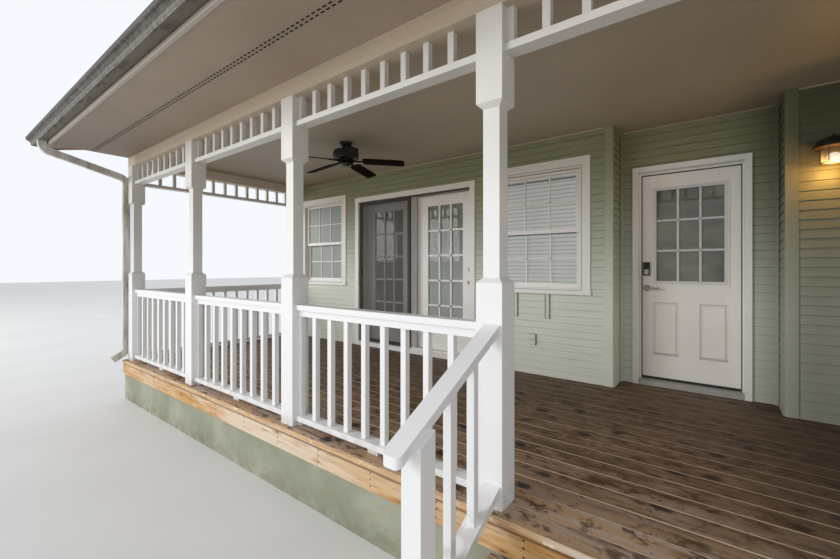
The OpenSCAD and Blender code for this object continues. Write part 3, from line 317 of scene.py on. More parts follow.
def board_finish(name, y0, pitch):
    """Weathered stain on boards that run along X, counted from the front edge y0, with light and shade painted
    in.
    """
    wood = Finish(name, rough=0.5)
    from_front = wood.axis("Y") - y0
    across = from_front / pitch
    board = across.floor()
    side = (across % 1.0) * pitch
    shift = wood.node("TexWhiteNoise", {"noise_dimensions": "1D"}, {"W": board})

    def drawn(along, jump, thin):
        """A point that jumps from board to board, with the pattern drawn out along the board."""
        return wood.node("CombineXYZ", {}, (wood.axis("X") * along + shift * jump,
                                            wood.axis("Y") * thin, wood.axis("Z") * thin))

    def cloud(point, scale, detail, rough):
        values = {"Vector": point, "Scale": scale, "Detail": detail, "Roughness": rough}
        return wood.node("TexNoise", {}, values)

    moved = drawn(1, 40, 9)
    streaks = cloud(drawn(2, 60, 70), 1.3, 8.0, 0.65)
    patches = cloud(moved, 2.6, 9.0, 0.68)
    tone = wood.ramp(patches, (0.36, (0.11, 0.060, 0.030)), (0.50, (0.27, 0.160, 0.090)),
                     (0.64, (0.42, 0.29, 0.185)))
    tone = wood.mix((1 - streaks.smooth(0.34, 0.56)) * 0.55, tone, (0.090, 0.045, 0.022))
    # Paler front boards: partly bare worn wood and partly painted light at the open front.
    bare = (1 - from_front.smooth(0.0, 0.9)) * patches.smooth(0.30, 0.52)
    tint = cloud(moved, 1.4, 3.0, 0.5).smooth(0.42, 0.56)
    tone = wood.mix(bare * 0.85, tone, wood.mix(tint, (0.66, 0.42, 0.24), (0.64, 0.50, 0.40)))
    flecks = cloud(drawn(1, 40, 1.2), 11.0, 7.0, 0.66)
    tone = wood.mix((1 - flecks.smooth(0.32, 0.50)) * 0.6, tone, (0.50, 0.37, 0.28))
    tone = wood.mix(flecks.smooth(0.52, 0.63) * 0.85, tone, (0.085, 0.034, 0.014))
    # Painted shade: the boards darken toward the back under the roof, and toward the right end of the porch.
    tone = wood.mix(from_front.smooth(0.7, 2.2) * 0.55, tone, (0.060, 0.030, 0.014))
    right_end = wood.axis("X").smooth(1.4, 2.4) * (1 - wood.axis("X").smooth(3.2, 4.2))
    tone = wood.mix(right_end * (from_front.smooth(0.2, 1.2) * 0.35 + 0.45), tone, (0.030, 0.016, 0.008))
    tone = wood.mix(shift * 0.30, tone, (0.16, 0.085, 0.042))
    spot = wood.node("CombineXYZ", {}, (wood.axis("X") * 4.5 + shift * 90, across, 0.0))
    wobble = wood.node("TexNoise", {}, {"Vector": moved, "Scale": 9.0, "Detail": 4.0}, "Color")
    torn = wood.node("VectorMath", {"operation": "MULTIPLY_ADD"}, (wobble, (0.45, 0.45, 0.0), spot))
    knot = wood.node("TexVoronoi", {}, {"Vector": torn, "Scale": 1.0, "Randomness": 1.0})
    tone = wood.mix((1 - knot.smooth(0.12, 0.32)) * 0.95, tone, (0.030, 0.016, 0.009))
    # Pale line along each board's long edge, partly wear and partly a painted highlight. It fades toward the
    # back and the right end, where shade is painted.
    wear = cloud(moved, 3.0, 6.0, 0.5)
    edge = (1 - side.smooth(0.0034, 0.0050)) * wear.smooth(0.32, 0.42)
    worn = edge * (0.95 - right_end * 0.35) * (1 - from_front.smooth(0.25, 1.9) * 0.75)
    tone = wood.mix(worn, tone, (0.95, 0.76, 0.55))
    nosing = 1 - (from_front + (flecks - 0.5) * 0.10).smooth(0.004, 0.022)
    honey = wood.ramp(streaks, (0.35, (0.40, 0.19, 0.07)), (0.5, (0.60, 0.37, 0.17)),
                      (0.62, (0.70, 0.51, 0.30)))
    tone = wood.mix(nosing * 0.9, tone, honey)
    walked = 1 - abs(wood.axis("X") - walked_x).smooth(0.45, 0.85)
    rubbed = (1 - from_front.smooth(0.0005, 0.003)) * (patches + streaks * 0.5).smooth(0.62, 0.70) * walked
    tone = wood.mix(rubbed * 0.9, tone, (0.88, 0.83, 0.76))
    # Painted highlight: a thin cream line along the top front corner of the boards.
    corner = (1 - from_front.smooth(0.004, 0.007)) * from_front.smooth(0.0005, 0.0015)
    tone = wood.mix(corner * 0.8, tone, (0.86, 0.74, 0.58))
    wood.feed("Base Color", tone)
    wood.feed("Roughness", patches * 0.35 + 0.50)
    wood.bump(streaks, 0.002)
    return wood


decking = board_finish("weathered_decking", deck_low.y, board_pitch)
decking.on("deck_boards")
tread_wood = board_finish("weathered_treads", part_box("stair_treads")[0].y, tread_pitch)
tread_wood.on("stair_treads")

screws = bmesh.new()
for n in range(first, last + 1):
    x = rim_joint_x + n * nail_pitch + nail_side
    for row in range(int((screwed_to_y - deck_low.y) / board_pitch)):
        for offset in screw_offsets:
            spot = Vector((x, deck_low.y + row * board_pitch + offset, deck_high.z + 0.0006))
            bmesh.ops.create_circle(screws, cap_ends=True, segments=6, radius=0.0042,
                                    matrix=Matrix.Translation(spot))
stand(screws, "deck_screws", steel, "deck_wood")


# Posts, railings and friezes: planed softwood with satin white paint. The paint is a little dirty
# near the floor. Light and shade are painted in: whiter low down, darker and warmer up under the roof.
paint = Finish("satin_white", rough=0.35)
near_floor = 1 - paint.axis("Z").smooth(0.50, 0.62)
grime = near_floor * paint.noise(14, detail=5).smooth(0.40, 0.62)
paint_tone = paint.mottle(2.5, (0.67, 0.635, 0.58), (0.73, 0.70, 0.645), detail=5)
# Painted light: below about 2 m the paint turns whiter, while the warm base above stands for shade under the
# roof.
paint_tone = paint.mix((1 - paint.axis("Z").smooth(1.3, 2.5)) * 0.8, paint_tone, (0.90, 0.90, 0.90))
paint.feed("Base Color", paint.mix(grime * 0.35, paint_tone, (0.38, 0.34, 0.29)))
paint.feed("Roughness", paint.noise(30) * 0.2 + 0.24)
paint.bump(wood_grain(paint, "Z", 90), 0.0006, 0.35)
paint.on("post_1", "post_2", "post_3", "post_4", "post_5", "post_6", "wall_posts", "railing_bay_1",
         "railing_bay_2", "railing_bay_3", "railing_bay_5", "railing_left_end", "railing_right_end",
         "stair_rail_left", "stair_rail_right", "frieze_front", "frieze_left_end", "frieze_right_end")


# Beams, ceiling and soffit: boards and smooth panels under flat taupe paint. A small cove strip
# closes the joint of ceiling and wall, and a slotted vent strip airs the eave.
taupe = Finish("flat_taupe", rough=0.5)
taupe_tone = taupe.ramp(taupe.noise(1.2, detail=4),
                        (0.35, (0.44, 0.358, 0.262)), (0.65, (0.48, 0.394, 0.29)))
lightest_x = -0.4
# Painted shade: the ceiling darkens toward both ends, away from its lightest line.
shaded_ends = abs(taupe.axis("X") - lightest_x).smooth(1.2, 3.6)
taupe.feed("Base Color", taupe.mix(shaded_ends * 0.8, taupe_tone, (0.22, 0.160, 0.088)))
taupe.bump(taupe.noise(200), 0.0006, 0.3)
taupe.on("ceiling")
eave = Finish("eave_taupe", rough=0.55)
eave_tone = eave.ramp(eave.noise(1.2, detail=4), (0.35, (0.36, 0.275, 0.203)), (0.65, (0.41, 0.322, 0.242)))
# Painted shade: the soffit darkens toward its left end.
shaded_left = 1 - eave.axis("X").smooth(-4.4, -1.6)
eave.feed("Base Color", eave.mix(shaded_left * 0.9, eave_tone, (0.235, 0.175, 0.128)))
eave.on("soffit")
beam_paint = Finish("beam_taupe", rough=0.6)
beam_grain = wood_grain(beam_paint, "X", 30)
beam_tone = beam_paint.ramp(beam_grain, (0.3, (0.49, 0.39, 0.285)), (0.7, (0.55, 0.44, 0.33)))
# Painted light: the beam at the left end is lighter, for the light that reaches its inner face.
lit_left_beam = 1 - beam_paint.axis("X").smooth(-4.15, -4.05)
beam_paint.feed("Base Color", beam_paint.mix(lit_left_beam * 0.55, beam_tone, (0.80, 0.71, 0.60)))
beam_paint.on("porch_beams")

fascia = Finish("fascia_cream", rough=0.55)
fascia_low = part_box("fascia_boards")[0]
shadow_z = 3.106
fascia_tone = fascia.mottle(1.0, (0.36, 0.31, 0.25), (0.50, 0.45, 0.38), stretch=(0.4, 3, 3), detail=5)
# Painted shadow: a dark line on the fascia under the gutter's back edge, and painted shade on the face below
# it.
gutter_shadow_line = abs(fascia.axis("Z") - shadow_z).smooth(0.002, 0.009)
fascia_tone = fascia.mix((fascia.axis("Z") < shadow_z + 0.014) * 0.75, fascia_tone, (0.22, 0.175, 0.135))
# Painted highlight: a pale line along the fascia's bottom edge.
edge_highlight = 1 - fascia.axis("Z").smooth(fascia_low.z + 0.002, fascia_low.z + 0.006)
fascia_tone = fascia.mix(edge_highlight * 0.8, fascia_tone, (0.56, 0.50, 0.43))
fascia.feed("Base Color", fascia.mix(gutter_shadow_line, (0.07, 0.055, 0.04), fascia_tone))
fascia.on("fascia_boards")

ceiling_low, ceiling_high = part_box("ceiling")
wall_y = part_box("wall_right")[0].y
alcove_low = Vector((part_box("wall_over_alcove")[0].x, wall_y, deck_high.z))
alcove_high = Vector((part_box("wall_over_alcove")[1].x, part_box("wall_over_front_door")[0].y, ceiling_low.z))
cove = 0.018


def break_edges(bm, offset, segments=1):
    """Takes the sharp edges off."""
    bmesh.ops.bevel(bm, geom=bm.edges[:], offset=offset, segments=segments, profile=0.5,
                    affect="EDGES", material=-1)


strips = bmesh.new()
for x0, x1, y in ((ceiling_low.x, alcove_low.x, wall_y), (alcove_high.x, ceiling_high.x, wall_y),
                  (alcove_low.x, alcove_high.x, alcove_high.y)):
    add_box(strips, (x0, y - cove, ceiling_low.z - cove), (x1, y, ceiling_low.z))
break_edges(strips, 0.005, 2)
stand(strips, "ceiling_strips", taupe, "soffit_paint")

soffit_z = ceiling_low.z
vent_y = -1.4415
vent_half = 4.28
vent = bmesh.new()
add_box(vent, (-vent_half, vent_y - 0.028, soffit_z - 0.002), (vent_half, vent_y + 0.028, soffit_z))
stand(vent, "vent_strip", eave, "soffit_paint")
# A near-black finish for painted shade, in the vent slots and in gaps and grooves further on.
dark = Finish("painted_shade_dark", rough=0.9)
dark.feed("Base Color", dark.mottle(50, (0.015, 0.013, 0.012), (0.03, 0.026, 0.023)))
# The vent slots are dark boxes that paint the shade inside each slot.
slots = bmesh.new()
slot_pitch = 0.0475
slot_length = 0.029
for n in range(int(2 * vent_half / slot_pitch)):
    x = -vent_half + 0.010 + n * slot_pitch
    for y in (vent_y - 0.013, vent_y + 0.013):
        add_box(slots, (x, y - 0.006, soffit_z - 0.0028), (x + slot_length, y + 0.006, soffit_z - 0.0015))
stand(slots, "vent_slots", dark, "soffit_paint")


# Roof covering: asphalt shingles in courses up the slope, each course lapping the one below. They
# are nailed to the sheathing over a thin underlay.
shingle_low, shingle_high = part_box("roof_shingles")
grains = Finish("mineral_grains", rough=0.95)
grain_tone = grains.ramp(grains.noise(3.0, detail=8, rough=0.7),
                         (0.35, (0.055, 0.052, 0.05)), (0.65, (0.13, 0.12, 0.112)))
speck = grains.noise(400, detail=1).smooth(0.5, 0.62)
grains.feed("Base Color", grains.mix(speck * 0.4, grain_tone, (0.22, 0.20, 0.18)))
grains.bump(grains.noise(500), 0.001)
grains.on("roof_shingles")
slope = math.atan(0.25)
courses = 25
exposure = (shingle_high.y - shingle_low.y) / math.cos(slope) / courses
tab_width = 0.305
tab_gap = 0.006
draw = random.Random(4)
roof = bmesh.new()
for course in range(courses):
    start = shingle_low.x - draw.random() * tab_width
    while start < shingle_high.x:
        left = max(start + tab_gap / 2, shingle_low.x)
        right = min(start + tab_width - tab_gap / 2, shingle_high.x)
        rise = 0.004 + draw.random() * 0.003
        start += tab_width
        if right - left > 0.02:
            add_box(roof, (left, course * exposure, -0.006), (right, (course + 0.98) * exposure, rise))
tilt = Matrix.Translation((0, shingle_low.y, 0)) @ Matrix.Rotation(slope, 4, "X")
top_z = shingle_high.z - (shingle_high.y - shingle_low.y) * math.tan(slope)
bmesh.ops.transform(roof, matrix=Matrix.Translation((0, 0, top_z)) @ tilt, verts=roof.verts)
stand(roof, "shingle_courses", grains, "shingles")


# Gutter and downspouts: formed sheet metal with a baked coat, once white and now streaked with dirt
# and leaf stains. The gutter hangs on the fascia.
gutter_low, gutter_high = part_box("gutter")
tin = Finish("stained_gutter", rough=0.4)
streak = tin.noise(1.0, (26, 26, 2.5), detail=5, rough=0.6)
length_tone = tin.noise(1.0, (1.6, 1.6, 1.6), detail=5)
height = (tin.axis("Z") - gutter_low.z) / (gutter_high.z - gutter_low.z)
# Darker toward the top with mould. The lighter band lower down is a painted highlight on the curved face.
tin_tone = tin.ramp(height + (length_tone - 0.5) * 0.5,
                    (0.15, (0.125, 0.112, 0.092)), (0.45, (0.145, 0.13, 0.108)),
                    (0.68, (0.075, 0.063, 0.049)), (0.90, (0.024, 0.019, 0.015)))
# Painted highlight: a pale line on the rolled lip at the gutter's bottom edge.
tin_tone = tin.mix(1 - height.smooth(0.01, 0.06), tin_tone, (0.55, 0.53, 0.49))
tin_tone = tin.mix((1 - streak.smooth(0.40, 0.56)) * 0.6, tin_tone, (0.045, 0.037, 0.028))
tin_tone = tin.mix(streak.smooth(0.56, 0.70) * 0.22, tin_tone, (0.46, 0.45, 0.42))
underside = (tin.axis("Z") < gutter_low.z + 0.0015) * (tin.axis("Z") > gutter_low.z - 0.002)
mould = tin.noise(6.0, (1, 2.5, 1), detail=6, rough=0.65).smooth(0.44, 0.62)
to_back = (tin.axis("Y") - gutter_low.y).smooth(0.055, 0.120)
under_tone = tin.mix(mould * (0.9 - to_back * 0.6), (0.17, 0.142, 0.11), (0.035, 0.028, 0.020))
tin_tone = tin.mix(underside, tin_tone, under_tone)
seams = sum(abs(abs(tin.axis("X")) - seam_x) < 0.0025 for seam_x in (2.12, 2.55))
tin.feed("Base Color", tin.mix(seams * (tin.axis("Z") > gutter_low.z), tin_tone, (0.06, 0.05, 0.04)))
tin.feed("Roughness", streak * 0.3 + 0.4)
tin.feed("Specular IOR Level", 0.3)
tin.on("gutter")
pipe = Finish("pale_pipe", rough=0.4)
pipe_streak = pipe.noise(1.0, (9, 9, 1.6), detail=6, rough=0.65)
pipe.feed("Base Color", pipe.ramp(pipe_streak, (0.36, (0.30, 0.26, 0.21)), (0.48, (0.50, 0.47, 0.42)),
                                  (0.60, (0.66, 0.64, 0.60))))
pipe.feed("Roughness", pipe_streak * 0.3 + 0.3)
pipe.on("downspouts")


# House wall: lap siding in narrow courses on framed walls, painted sage green. Each course laps the
# one below, so its lower edge stands out and throws a thin shadow.
course_h = 0.074
butt = 0.011
lip = 0.003


def lap_strip(bm, x0, x1, z0, z1, place):
    """One strip of courses that faces -Y at y = 0, as a saw-toothed profile carried along X."""
    def stand_out(z):
        return butt - (butt - lip) * (((z - deck_high.z) / course_h) % 1.0)

    profile = [(0.0, z1), (0.0, z0), (-stand_out(z0 + 0.0001), z0)]
    course = math.floor((z0 - deck_high.z) / course_h + 0.01) + 1
    while deck_high.z + course * course_h < z1 - 0.001:
        z = deck_high.z + course * course_h
        profile += [(-lip, z - 0.001), (-butt, z)]
        course += 1
    profile.append((-stand_out(z1 - 0.0001), z1))
    face = bm.faces.new([bm.verts.new((x0, y, z)) for y, z in profile])
    far = bmesh.ops.extrude_face_region(bm, geom=[face])["geom"]
    far = [v for v in far if isinstance(v, bmesh.types.BMVert)]
    bmesh.ops.translate(bm, vec=(x1 - x0, 0, 0), verts=far)
    bmesh.ops.transform(bm, matrix=place, verts=far + list(face.verts))


def lap_wall(bm, x0, x1, z0, z1, holes, place):
    """Strips of courses over a wall with rectangular holes (x0, x1, z0, z1)."""
    edges = sorted({x0, x1, *(x for hole in holes for x in hole[:2] if x0 < x < x1)})
    for left, right in zip(edges, edges[1:]):
        z = z0
        for hole in sorted(h for h in holes if h[0] < (left + right) / 2 < h[1]):
            if hole[2] > z + 0.002:
                lap_strip(bm, left, right, z, hole[2], place)
            z = hole[3]
        if z < z1 - 0.002:
            lap_strip(bm, left, right, z, z1, place)


def frame_hole(node, horn=0.0):
    """The rectangle of wall that a window or door with its casing covers."""
    low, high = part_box(node)
    return (low.x + horn, high.x - horn, low.z, high.z)


def sage_paint(name):
    """Chalky sage green paint, as a finish and its colour, with painted light low on the outer faces and
    painted shade high up and at the right end.
    """
    made = Finish(name, rough=0.5)
    facing = made.node("NewGeometry", {}, (), "Normal")
    outside = 1 - made.node("SeparateXYZ", {}, (facing,), "Y").smooth(0.3, 0.7)
    tone = made.mottle(1.6, (0.43, 0.455, 0.345), (0.49, 0.51, 0.395), detail=4)
    # Painted shade high on the wall and painted light low on it, on outward faces only.
    tone = made.mix(made.axis("Z").smooth(1.7, 2.9) * outside * 0.8, tone, (0.235, 0.22, 0.095))
    tone = made.mix((1 - made.axis("Z").smooth(1.1, 2.1)) * outside * 0.8, tone, (0.76, 0.79, 0.66))
    chalk = made.noise(3.0, (1, 1, 14), detail=5).smooth(0.5, 0.75)
    made.feed("Roughness", made.noise(12) * 0.25 + 0.4)
    tone = made.mix(chalk * 0.3, tone, (0.52, 0.53, 0.44))
    # Painted shade: the outer faces darken toward the right end of the wall.
    right_end = made.axis("X").smooth(1.7, 2.3) * (1 - made.axis("X").smooth(3.4, 4.2)) * outside
    shaded = right_end * (made.axis("Z").smooth(1.7, 2.8) * 0.2 + 0.75)
    return made, made.mix(shaded, tone, (0.08, 0.075, 0.034))


sage, sage_tone = sage_paint("sage_boards")
sage.feed("Base Color", sage_tone)
sage.on("gable_ends", "wall_left", "wall_over_patio_door", "wall_middle", "wall_over_alcove",
        "wall_right", "alcove_left", "alcove_right", "wall_over_front_door", "corner_boards")
siding, siding_tone = sage_paint("sage_siding")
# Painted shadow: a thin dark line at the top of each course, under the butt of the course above.
lap = ((siding.axis("Z") - deck_high.z) / course_h) % 1.0
nicks = siding.noise(1.0, (2.5, 2.5, 40), detail=4)
line = lap.smooth(0.93, 0.96) * (nicks * 0.9 + 0.15)
siding.feed("Base Color", siding.mix(line, siding_tone, (0.08, 0.085, 0.05)))
siding.bump(siding.noise(1.0, (12, 12, 260), detail=5), 0.0012, 0.4)

wall_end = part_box("wall_right")[1].x
boards_low, boards_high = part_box("corner_boards")
at_wall = Matrix.Translation((0, wall_y, 0))
front = bmesh.new()
sill_horn = 0.008
wall_holes = [frame_hole("window_left", sill_horn), frame_hole("window_right", sill_horn),
              frame_hole("patio_door_frame")]
lap_wall(front, -wall_end, boards_low.x, deck_high.z, ceiling_low.z, wall_holes, at_wall)
lap_wall(front, boards_high.x, wall_end, deck_high.z, ceiling_low.z, [], at_wall)
stand(front, "front_siding", siding, "siding_paint")

alcove = bmesh.new()
at_back = Matrix.Translation((0, alcove_high.y, 0))
door_hole = frame_hole("front_door_frame")
lap_wall(alcove, alcove_low.x, alcove_high.x, deck_high.z, ceiling_low.z, [door_hole], at_back)
depth = alcove_high.y - wall_y
outward = Matrix.Rotation(math.radians(-90), 4, "Z")
turn_right = Matrix.Translation((alcove_low.x, wall_y, 0)) @ outward.inverted()
turn_left = Matrix.Translation((alcove_high.x, alcove_high.y, 0)) @ outward
lap_wall(alcove, 0, depth, deck_high.z, ceiling_low.z, [], turn_right)
lap_wall(alcove, 0, depth, deck_high.z, ceiling_low.z, [], turn_left)
stand(alcove, "alcove_siding", siding, "siding_paint")


# Small pieces on the siding: a square strip in each inner corner of the alcove, a weather cover over
# an outlet and two hooked channels under the right window. All are under the same paint.
strip_w = 0.024
fittings = bmesh.new()
for x in (alcove_low.x + butt, alcove_high.x - butt - strip_w):
    add_box(fittings, (x, alcove_high.y - butt - strip_w, deck_high.z),
            (x + strip_w, alcove_high.y, ceiling_low.z))
cover = Vector((0.034, wall_y, 0.880))
add_box(fittings, cover - Vector((0.036, 0.032, 0.058)), cover + Vector((0.036, 0.0, 0.058)))
# Painted shadow: a dark box behind the cover shows as a thin rim around it, with a dark line under its lid.
cover_gap = bmesh.new()
add_box(cover_gap, cover - Vector((0.0395, 0.014, 0.0615)), cover + Vector((0.0395, 0.0, 0.0615)))
add_box(cover_gap, cover + Vector((-0.033, -0.0325, -0.004)), cover + Vector((0.033, -0.0315, -0.001)))
stand(cover_gap, "outlet_cover_shadow", dark, "siding_paint")
channel_half = 0.024
flange = 0.004
channel_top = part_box("window_right")[0].z - 0.002
channel_foot = channel_top - 0.272
for x in (-0.168, 0.197):
    add_box(fittings, (x - channel_half, wall_y - 0.014, channel_foot),
            (x + channel_half, wall_y, channel_top))
    for flange_x in (x - channel_half, x + channel_half - flange):
        add_box(fittings, (flange_x, wall_y - 0.030, channel_foot), (flange_x + flange, wall_y, channel_top))
break_edges(fittings, 0.0015)
stand(fittings, "siding_fittings", sage, "siding_paint")

gable_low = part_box("gable_ends")[0]
beam_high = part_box("porch_beams")[1]
post_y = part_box("post_1")[0].y
wall_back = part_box("wall_right")[1].y
sheathing_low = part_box("roof_sheathing")[0]
spans = ((gable_low.y, post_y, gable_low.z), (post_y, wall_y, beam_high.z),
         (wall_y, wall_back, deck_high.z))
gables = bmesh.new()
for sign, turn in ((1, outward), (-1, outward.inverted())):
    place = Matrix.Translation((-sign * wall_end, 0, 0)) @ turn
    for y0, y1, z0 in spans:
        ends = sorted((-sign * y0, -sign * y1))
        lap_wall(gables, ends[0], ends[1], z0, shingle_high.z + 0.1, [], place)
whole = gables.verts[:] + gables.edges[:] + gables.faces[:]
cut = bmesh.ops.bisect_plane(gables, geom=whole, clear_outer=True,
                             plane_co=Vector((0, sheathing_low.y, sheathing_low.z)),
                             plane_no=Vector((0, -math.sin(slope), math.cos(slope))))
rims = [edge for edge in cut["geom_cut"] if isinstance(edge, bmesh.types.BMEdge)]
bmesh.ops.contextual_create(gables, geom=rims)
stand(gables, "gable_siding", siding, "siding_paint")


# Windows: double-hung units with painted casings. Each sash has three panes by two behind thin bars,
# and a white slatted blind hangs inside.
trim = Finish("trim_white", rough=0.4)
trim_tone = trim.mottle(3, (0.85, 0.82, 0.77), (0.90, 0.88, 0.84), detail=4)
# Painted shade: the casings darken and warm high up under the roof, on the left part of the wall.
shade_high_up = trim.axis("Z").smooth(1.9, 2.75) * (1 - trim.axis("X").smooth(0.7, 1.1))
trim.feed("Base Color", trim.mix(shade_high_up * 0.6, trim_tone, (0.78, 0.67, 0.54)))
trim.bump(trim.noise(150), 0.0005, 0.3)
trim.on("window_left", "window_right", "front_door_frame", "patio_door_frame", "patio_fixed_leaf",
        "patio_leaf")

glass = Finish("window_glass", rough=0.03)
clear = glass.mottle(0.8, (0.50, 0.52, 0.48), (0.58, 0.60, 0.56))
# Painted shade: the panes behind the insect screen are dark and almost opaque.
shaded_behind_screen = glass.axis("Y") > wall_y + 0.1
glass.feed("Base Color", glass.mix(shaded_behind_screen, clear, (0.05, 0.045, 0.032)))
glass.feed("Alpha", glass.node("Fresnel", {}, (1.5,)) * 0.9 + 0.14 + shaded_behind_screen * 0.8)
glass.feed("Specular IOR Level", 1.0)
glass.material.surface_render_method = "DITHERED"
glass.on("window_glass")

slat_pitch = 0.044
slat_half_w = 0.024
slat_half_t = 0.0012
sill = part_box("window_left")[0].z + 0.042
blind_paint = Finish("blind_white", rough=0.55)
blind_tone = blind_paint.mottle(4, (0.90, 0.90, 0.87), (0.94, 0.94, 0.91))
# Painted shade: a dark band where each slat overlaps the next.
slat_shadow = 1 - (((blind_paint.axis("Z") - sill - 0.032) / slat_pitch) % 1.0).smooth(0.20, 0.42)
blind_paint.feed("Base Color", blind_paint.mix(slat_shadow * 0.75, blind_tone, (0.17, 0.17, 0.15)))
# Painted light: the blinds glow faintly, for room light from behind.
blind_paint.feed("Emission Color", blind_tone)
blind_paint.feed("Emission Strength", 0.13)


def pane_bars(bm, low, high, columns, rows, width, front_y, back_y):
    """Upright and level bars that divide a pane."""
    for n in range(1, columns):
        x = low[0] + (high[0] - low[0]) * n / columns
        add_box(bm, (x - width / 2, front_y, low[1]), (x + width / 2, back_y, high[1]))
    for n in range(1, rows):
        z = low[1] + (high[1] - low[1]) * n / rows
        add_box(bm, (low[0], front_y, z - width / 2), (high[0], back_y, z + width / 2))


opening_half = 0.490
opening_h = 1.299
side_rail = 0.070
head_rail = 0.050
foot_rail = 0.069
meeting_rail = 0.045
glass_half = opening_half - side_rail
meet = sill + 0.659
head = sill + opening_h - head_rail
sash_half = opening_half - 0.018
sash_top = sill + opening_h - 0.020
sash_y = wall_y + 0.030
groove = 0.003
joint_w = 0.004
blind_y = wall_y + 0.115
blind_top = head - 0.030
slat_tilt = Matrix.Rotation(math.radians(-72), 3, "X")
window_bars = bmesh.new()
blinds = bmesh.new()
# Painted shade: thin dark strips under the blind's head rail, beside and over the sashes, under the meeting
# rail and between casing and frame.
gaps = bmesh.new()
for node in ("window_left", "window_right"):
    low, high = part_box(node)
    mid = (low.x + high.x) / 2
    left, right = mid - glass_half, mid + glass_half
    upper_y, lower_y = sash_y + 0.010, sash_y + 0.045
    pane_bars(window_bars, (left, meet), (right, head), 3, 2, 0.013, upper_y, upper_y + 0.016)
    pane_bars(window_bars, (left, sill + foot_rail), (right, meet - meeting_rail), 3, 2, 0.015,
              lower_y, lower_y + 0.016)

    add_box(blinds, (left, blind_y - 0.016, blind_top), (right, blind_y + 0.016, blind_top + 0.040))
    add_box(gaps, (left, blind_y - 0.012, blind_top - 0.014), (right, blind_y + 0.012, blind_top))
    for n in range(int((blind_top - sill - 0.04) / slat_pitch) + 1):
        z = sill + 0.05 + n * slat_pitch
        slat = add_box(blinds, (left + 0.001, blind_y - slat_half_w, z - slat_half_t),
                       (right - 0.001, blind_y + slat_half_w, z + slat_half_t))
        bmesh.ops.rotate(blinds, cent=Vector((mid, blind_y, z)), matrix=slat_tilt, verts=slat)

    for x in (mid - sash_half, mid + sash_half - groove):
        add_box(gaps, (x, sash_y - 0.0015, sill + 0.020), (x + groove, sash_y, sash_top))
    add_box(gaps, (mid - sash_half + 0.002, sash_y - 0.0015, sash_top - groove),
            (mid + sash_half - 0.002, sash_y, sash_top))
    add_box(gaps, (left, sash_y + 0.022, meet - 0.051), (right, sash_y + 0.034, meet - 0.044))

    joint_y = low.y + 0.0115
    inner = opening_half - joint_w / 2
    for x in (mid - inner - joint_w, mid + inner):
        add_box(gaps, (x, joint_y, sill), (x + joint_w, joint_y + 0.0015, sill + opening_h + joint_w / 2))
    for z in (sill + 0.0005, sill + opening_h - joint_w / 2):
        add_box(gaps, (mid - inner, joint_y, z), (mid + inner, joint_y + 0.0015, z + joint_w))
stand(window_bars, "window_bars", trim, "trim_paint")
stand(blinds, "window_blinds", blind_paint, "trim_paint")
stand(gaps, "window_shadow_lines", dark, "trim_paint")


# Front door: a pressed steel leaf with a nine-pane light over two raised panels. It hangs in a
# painted frame on the house side, over a sill with a black sweep.
door_paint = Finish("door_white", rough=0.38)
light_low, light_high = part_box("front_door_glass")
leaf_low, leaf_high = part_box("front_door")
light_rim = 0.030
door_tone = door_paint.mottle(2.2, (0.86, 0.81, 0.74), (0.90, 0.86, 0.80))
from_middle = abs(door_paint.axis("X") - (light_low.x + light_high.x) / 2)
from_centre = abs(door_paint.axis("Z") - (light_low.z + light_high.z) / 2)
on_frame = ((from_middle < (light_high.x - light_low.x) / 2 + light_rim)
            * (from_centre < (light_high.z - light_low.z) / 2 + light_rim))
door_tone = door_paint.mix(on_frame * 0.8, door_tone, (0.66, 0.645, 0.64))
panel_x = 0.195
panel_foot = 0.245
panel_half_w = 0.1095
panel_half_h = 0.268
panel_up = door_paint.axis("Z") - (leaf_low.z + panel_foot + panel_half_h)
beside = abs(from_middle - panel_x) - panel_half_w
outline = beside.maths("MAXIMUM", beside, abs(panel_up) - panel_half_h)
# Painted shade around each raised panel: a darker border, with darker lines at its foot and head.
panel_edge_shade = (1 - outline.smooth(-0.003, 0.002)) * outline.smooth(-0.028, -0.024)
foot_shadow = panel_edge_shade * (1 - (panel_up + panel_half_h).smooth(0.020, 0.030))
head_shadow = panel_edge_shade * (panel_up - panel_half_h).smooth(-0.012, -0.004)
panel_shadows = foot_shadow.maths("MAXIMUM", foot_shadow, head_shadow)
door_tone = door_paint.mix(panel_edge_shade * 0.45, door_tone, (0.66, 0.61, 0.55))
door_paint.feed("Base Color", door_paint.mix(panel_shadows * 0.6, door_tone, (0.42, 0.385, 0.345)))
door_paint.bump(door_paint.noise(120), 0.0004, 0.3)
door_paint.on("front_door")

mirror_glass = Finish("dark_glass", rough=0.03)
# Painted reflection: the opaque glass takes a mottled grey in upright streaks.
painted_reflection_tone = mirror_glass.mottle(2.0, (0.12, 0.12, 0.095), (0.27, 0.26, 0.205),
                                  stretch=(1, 1, 2), detail=3)
mirror_glass.feed("Base Color", painted_reflection_tone)
mirror_glass.on("front_door_glass")

door_bars = bmesh.new()
for front_y in (light_low.y - 0.016, light_high.y + 0.001):
    pane_bars(door_bars, (light_low.x, light_low.z), (light_high.x, light_high.z), 3, 3, 0.022,
              front_y, front_y + 0.015)
break_edges(door_bars, 0.004)
stand(door_bars, "front_door_bars", door_paint, "door_paint", "front_door_leaf")

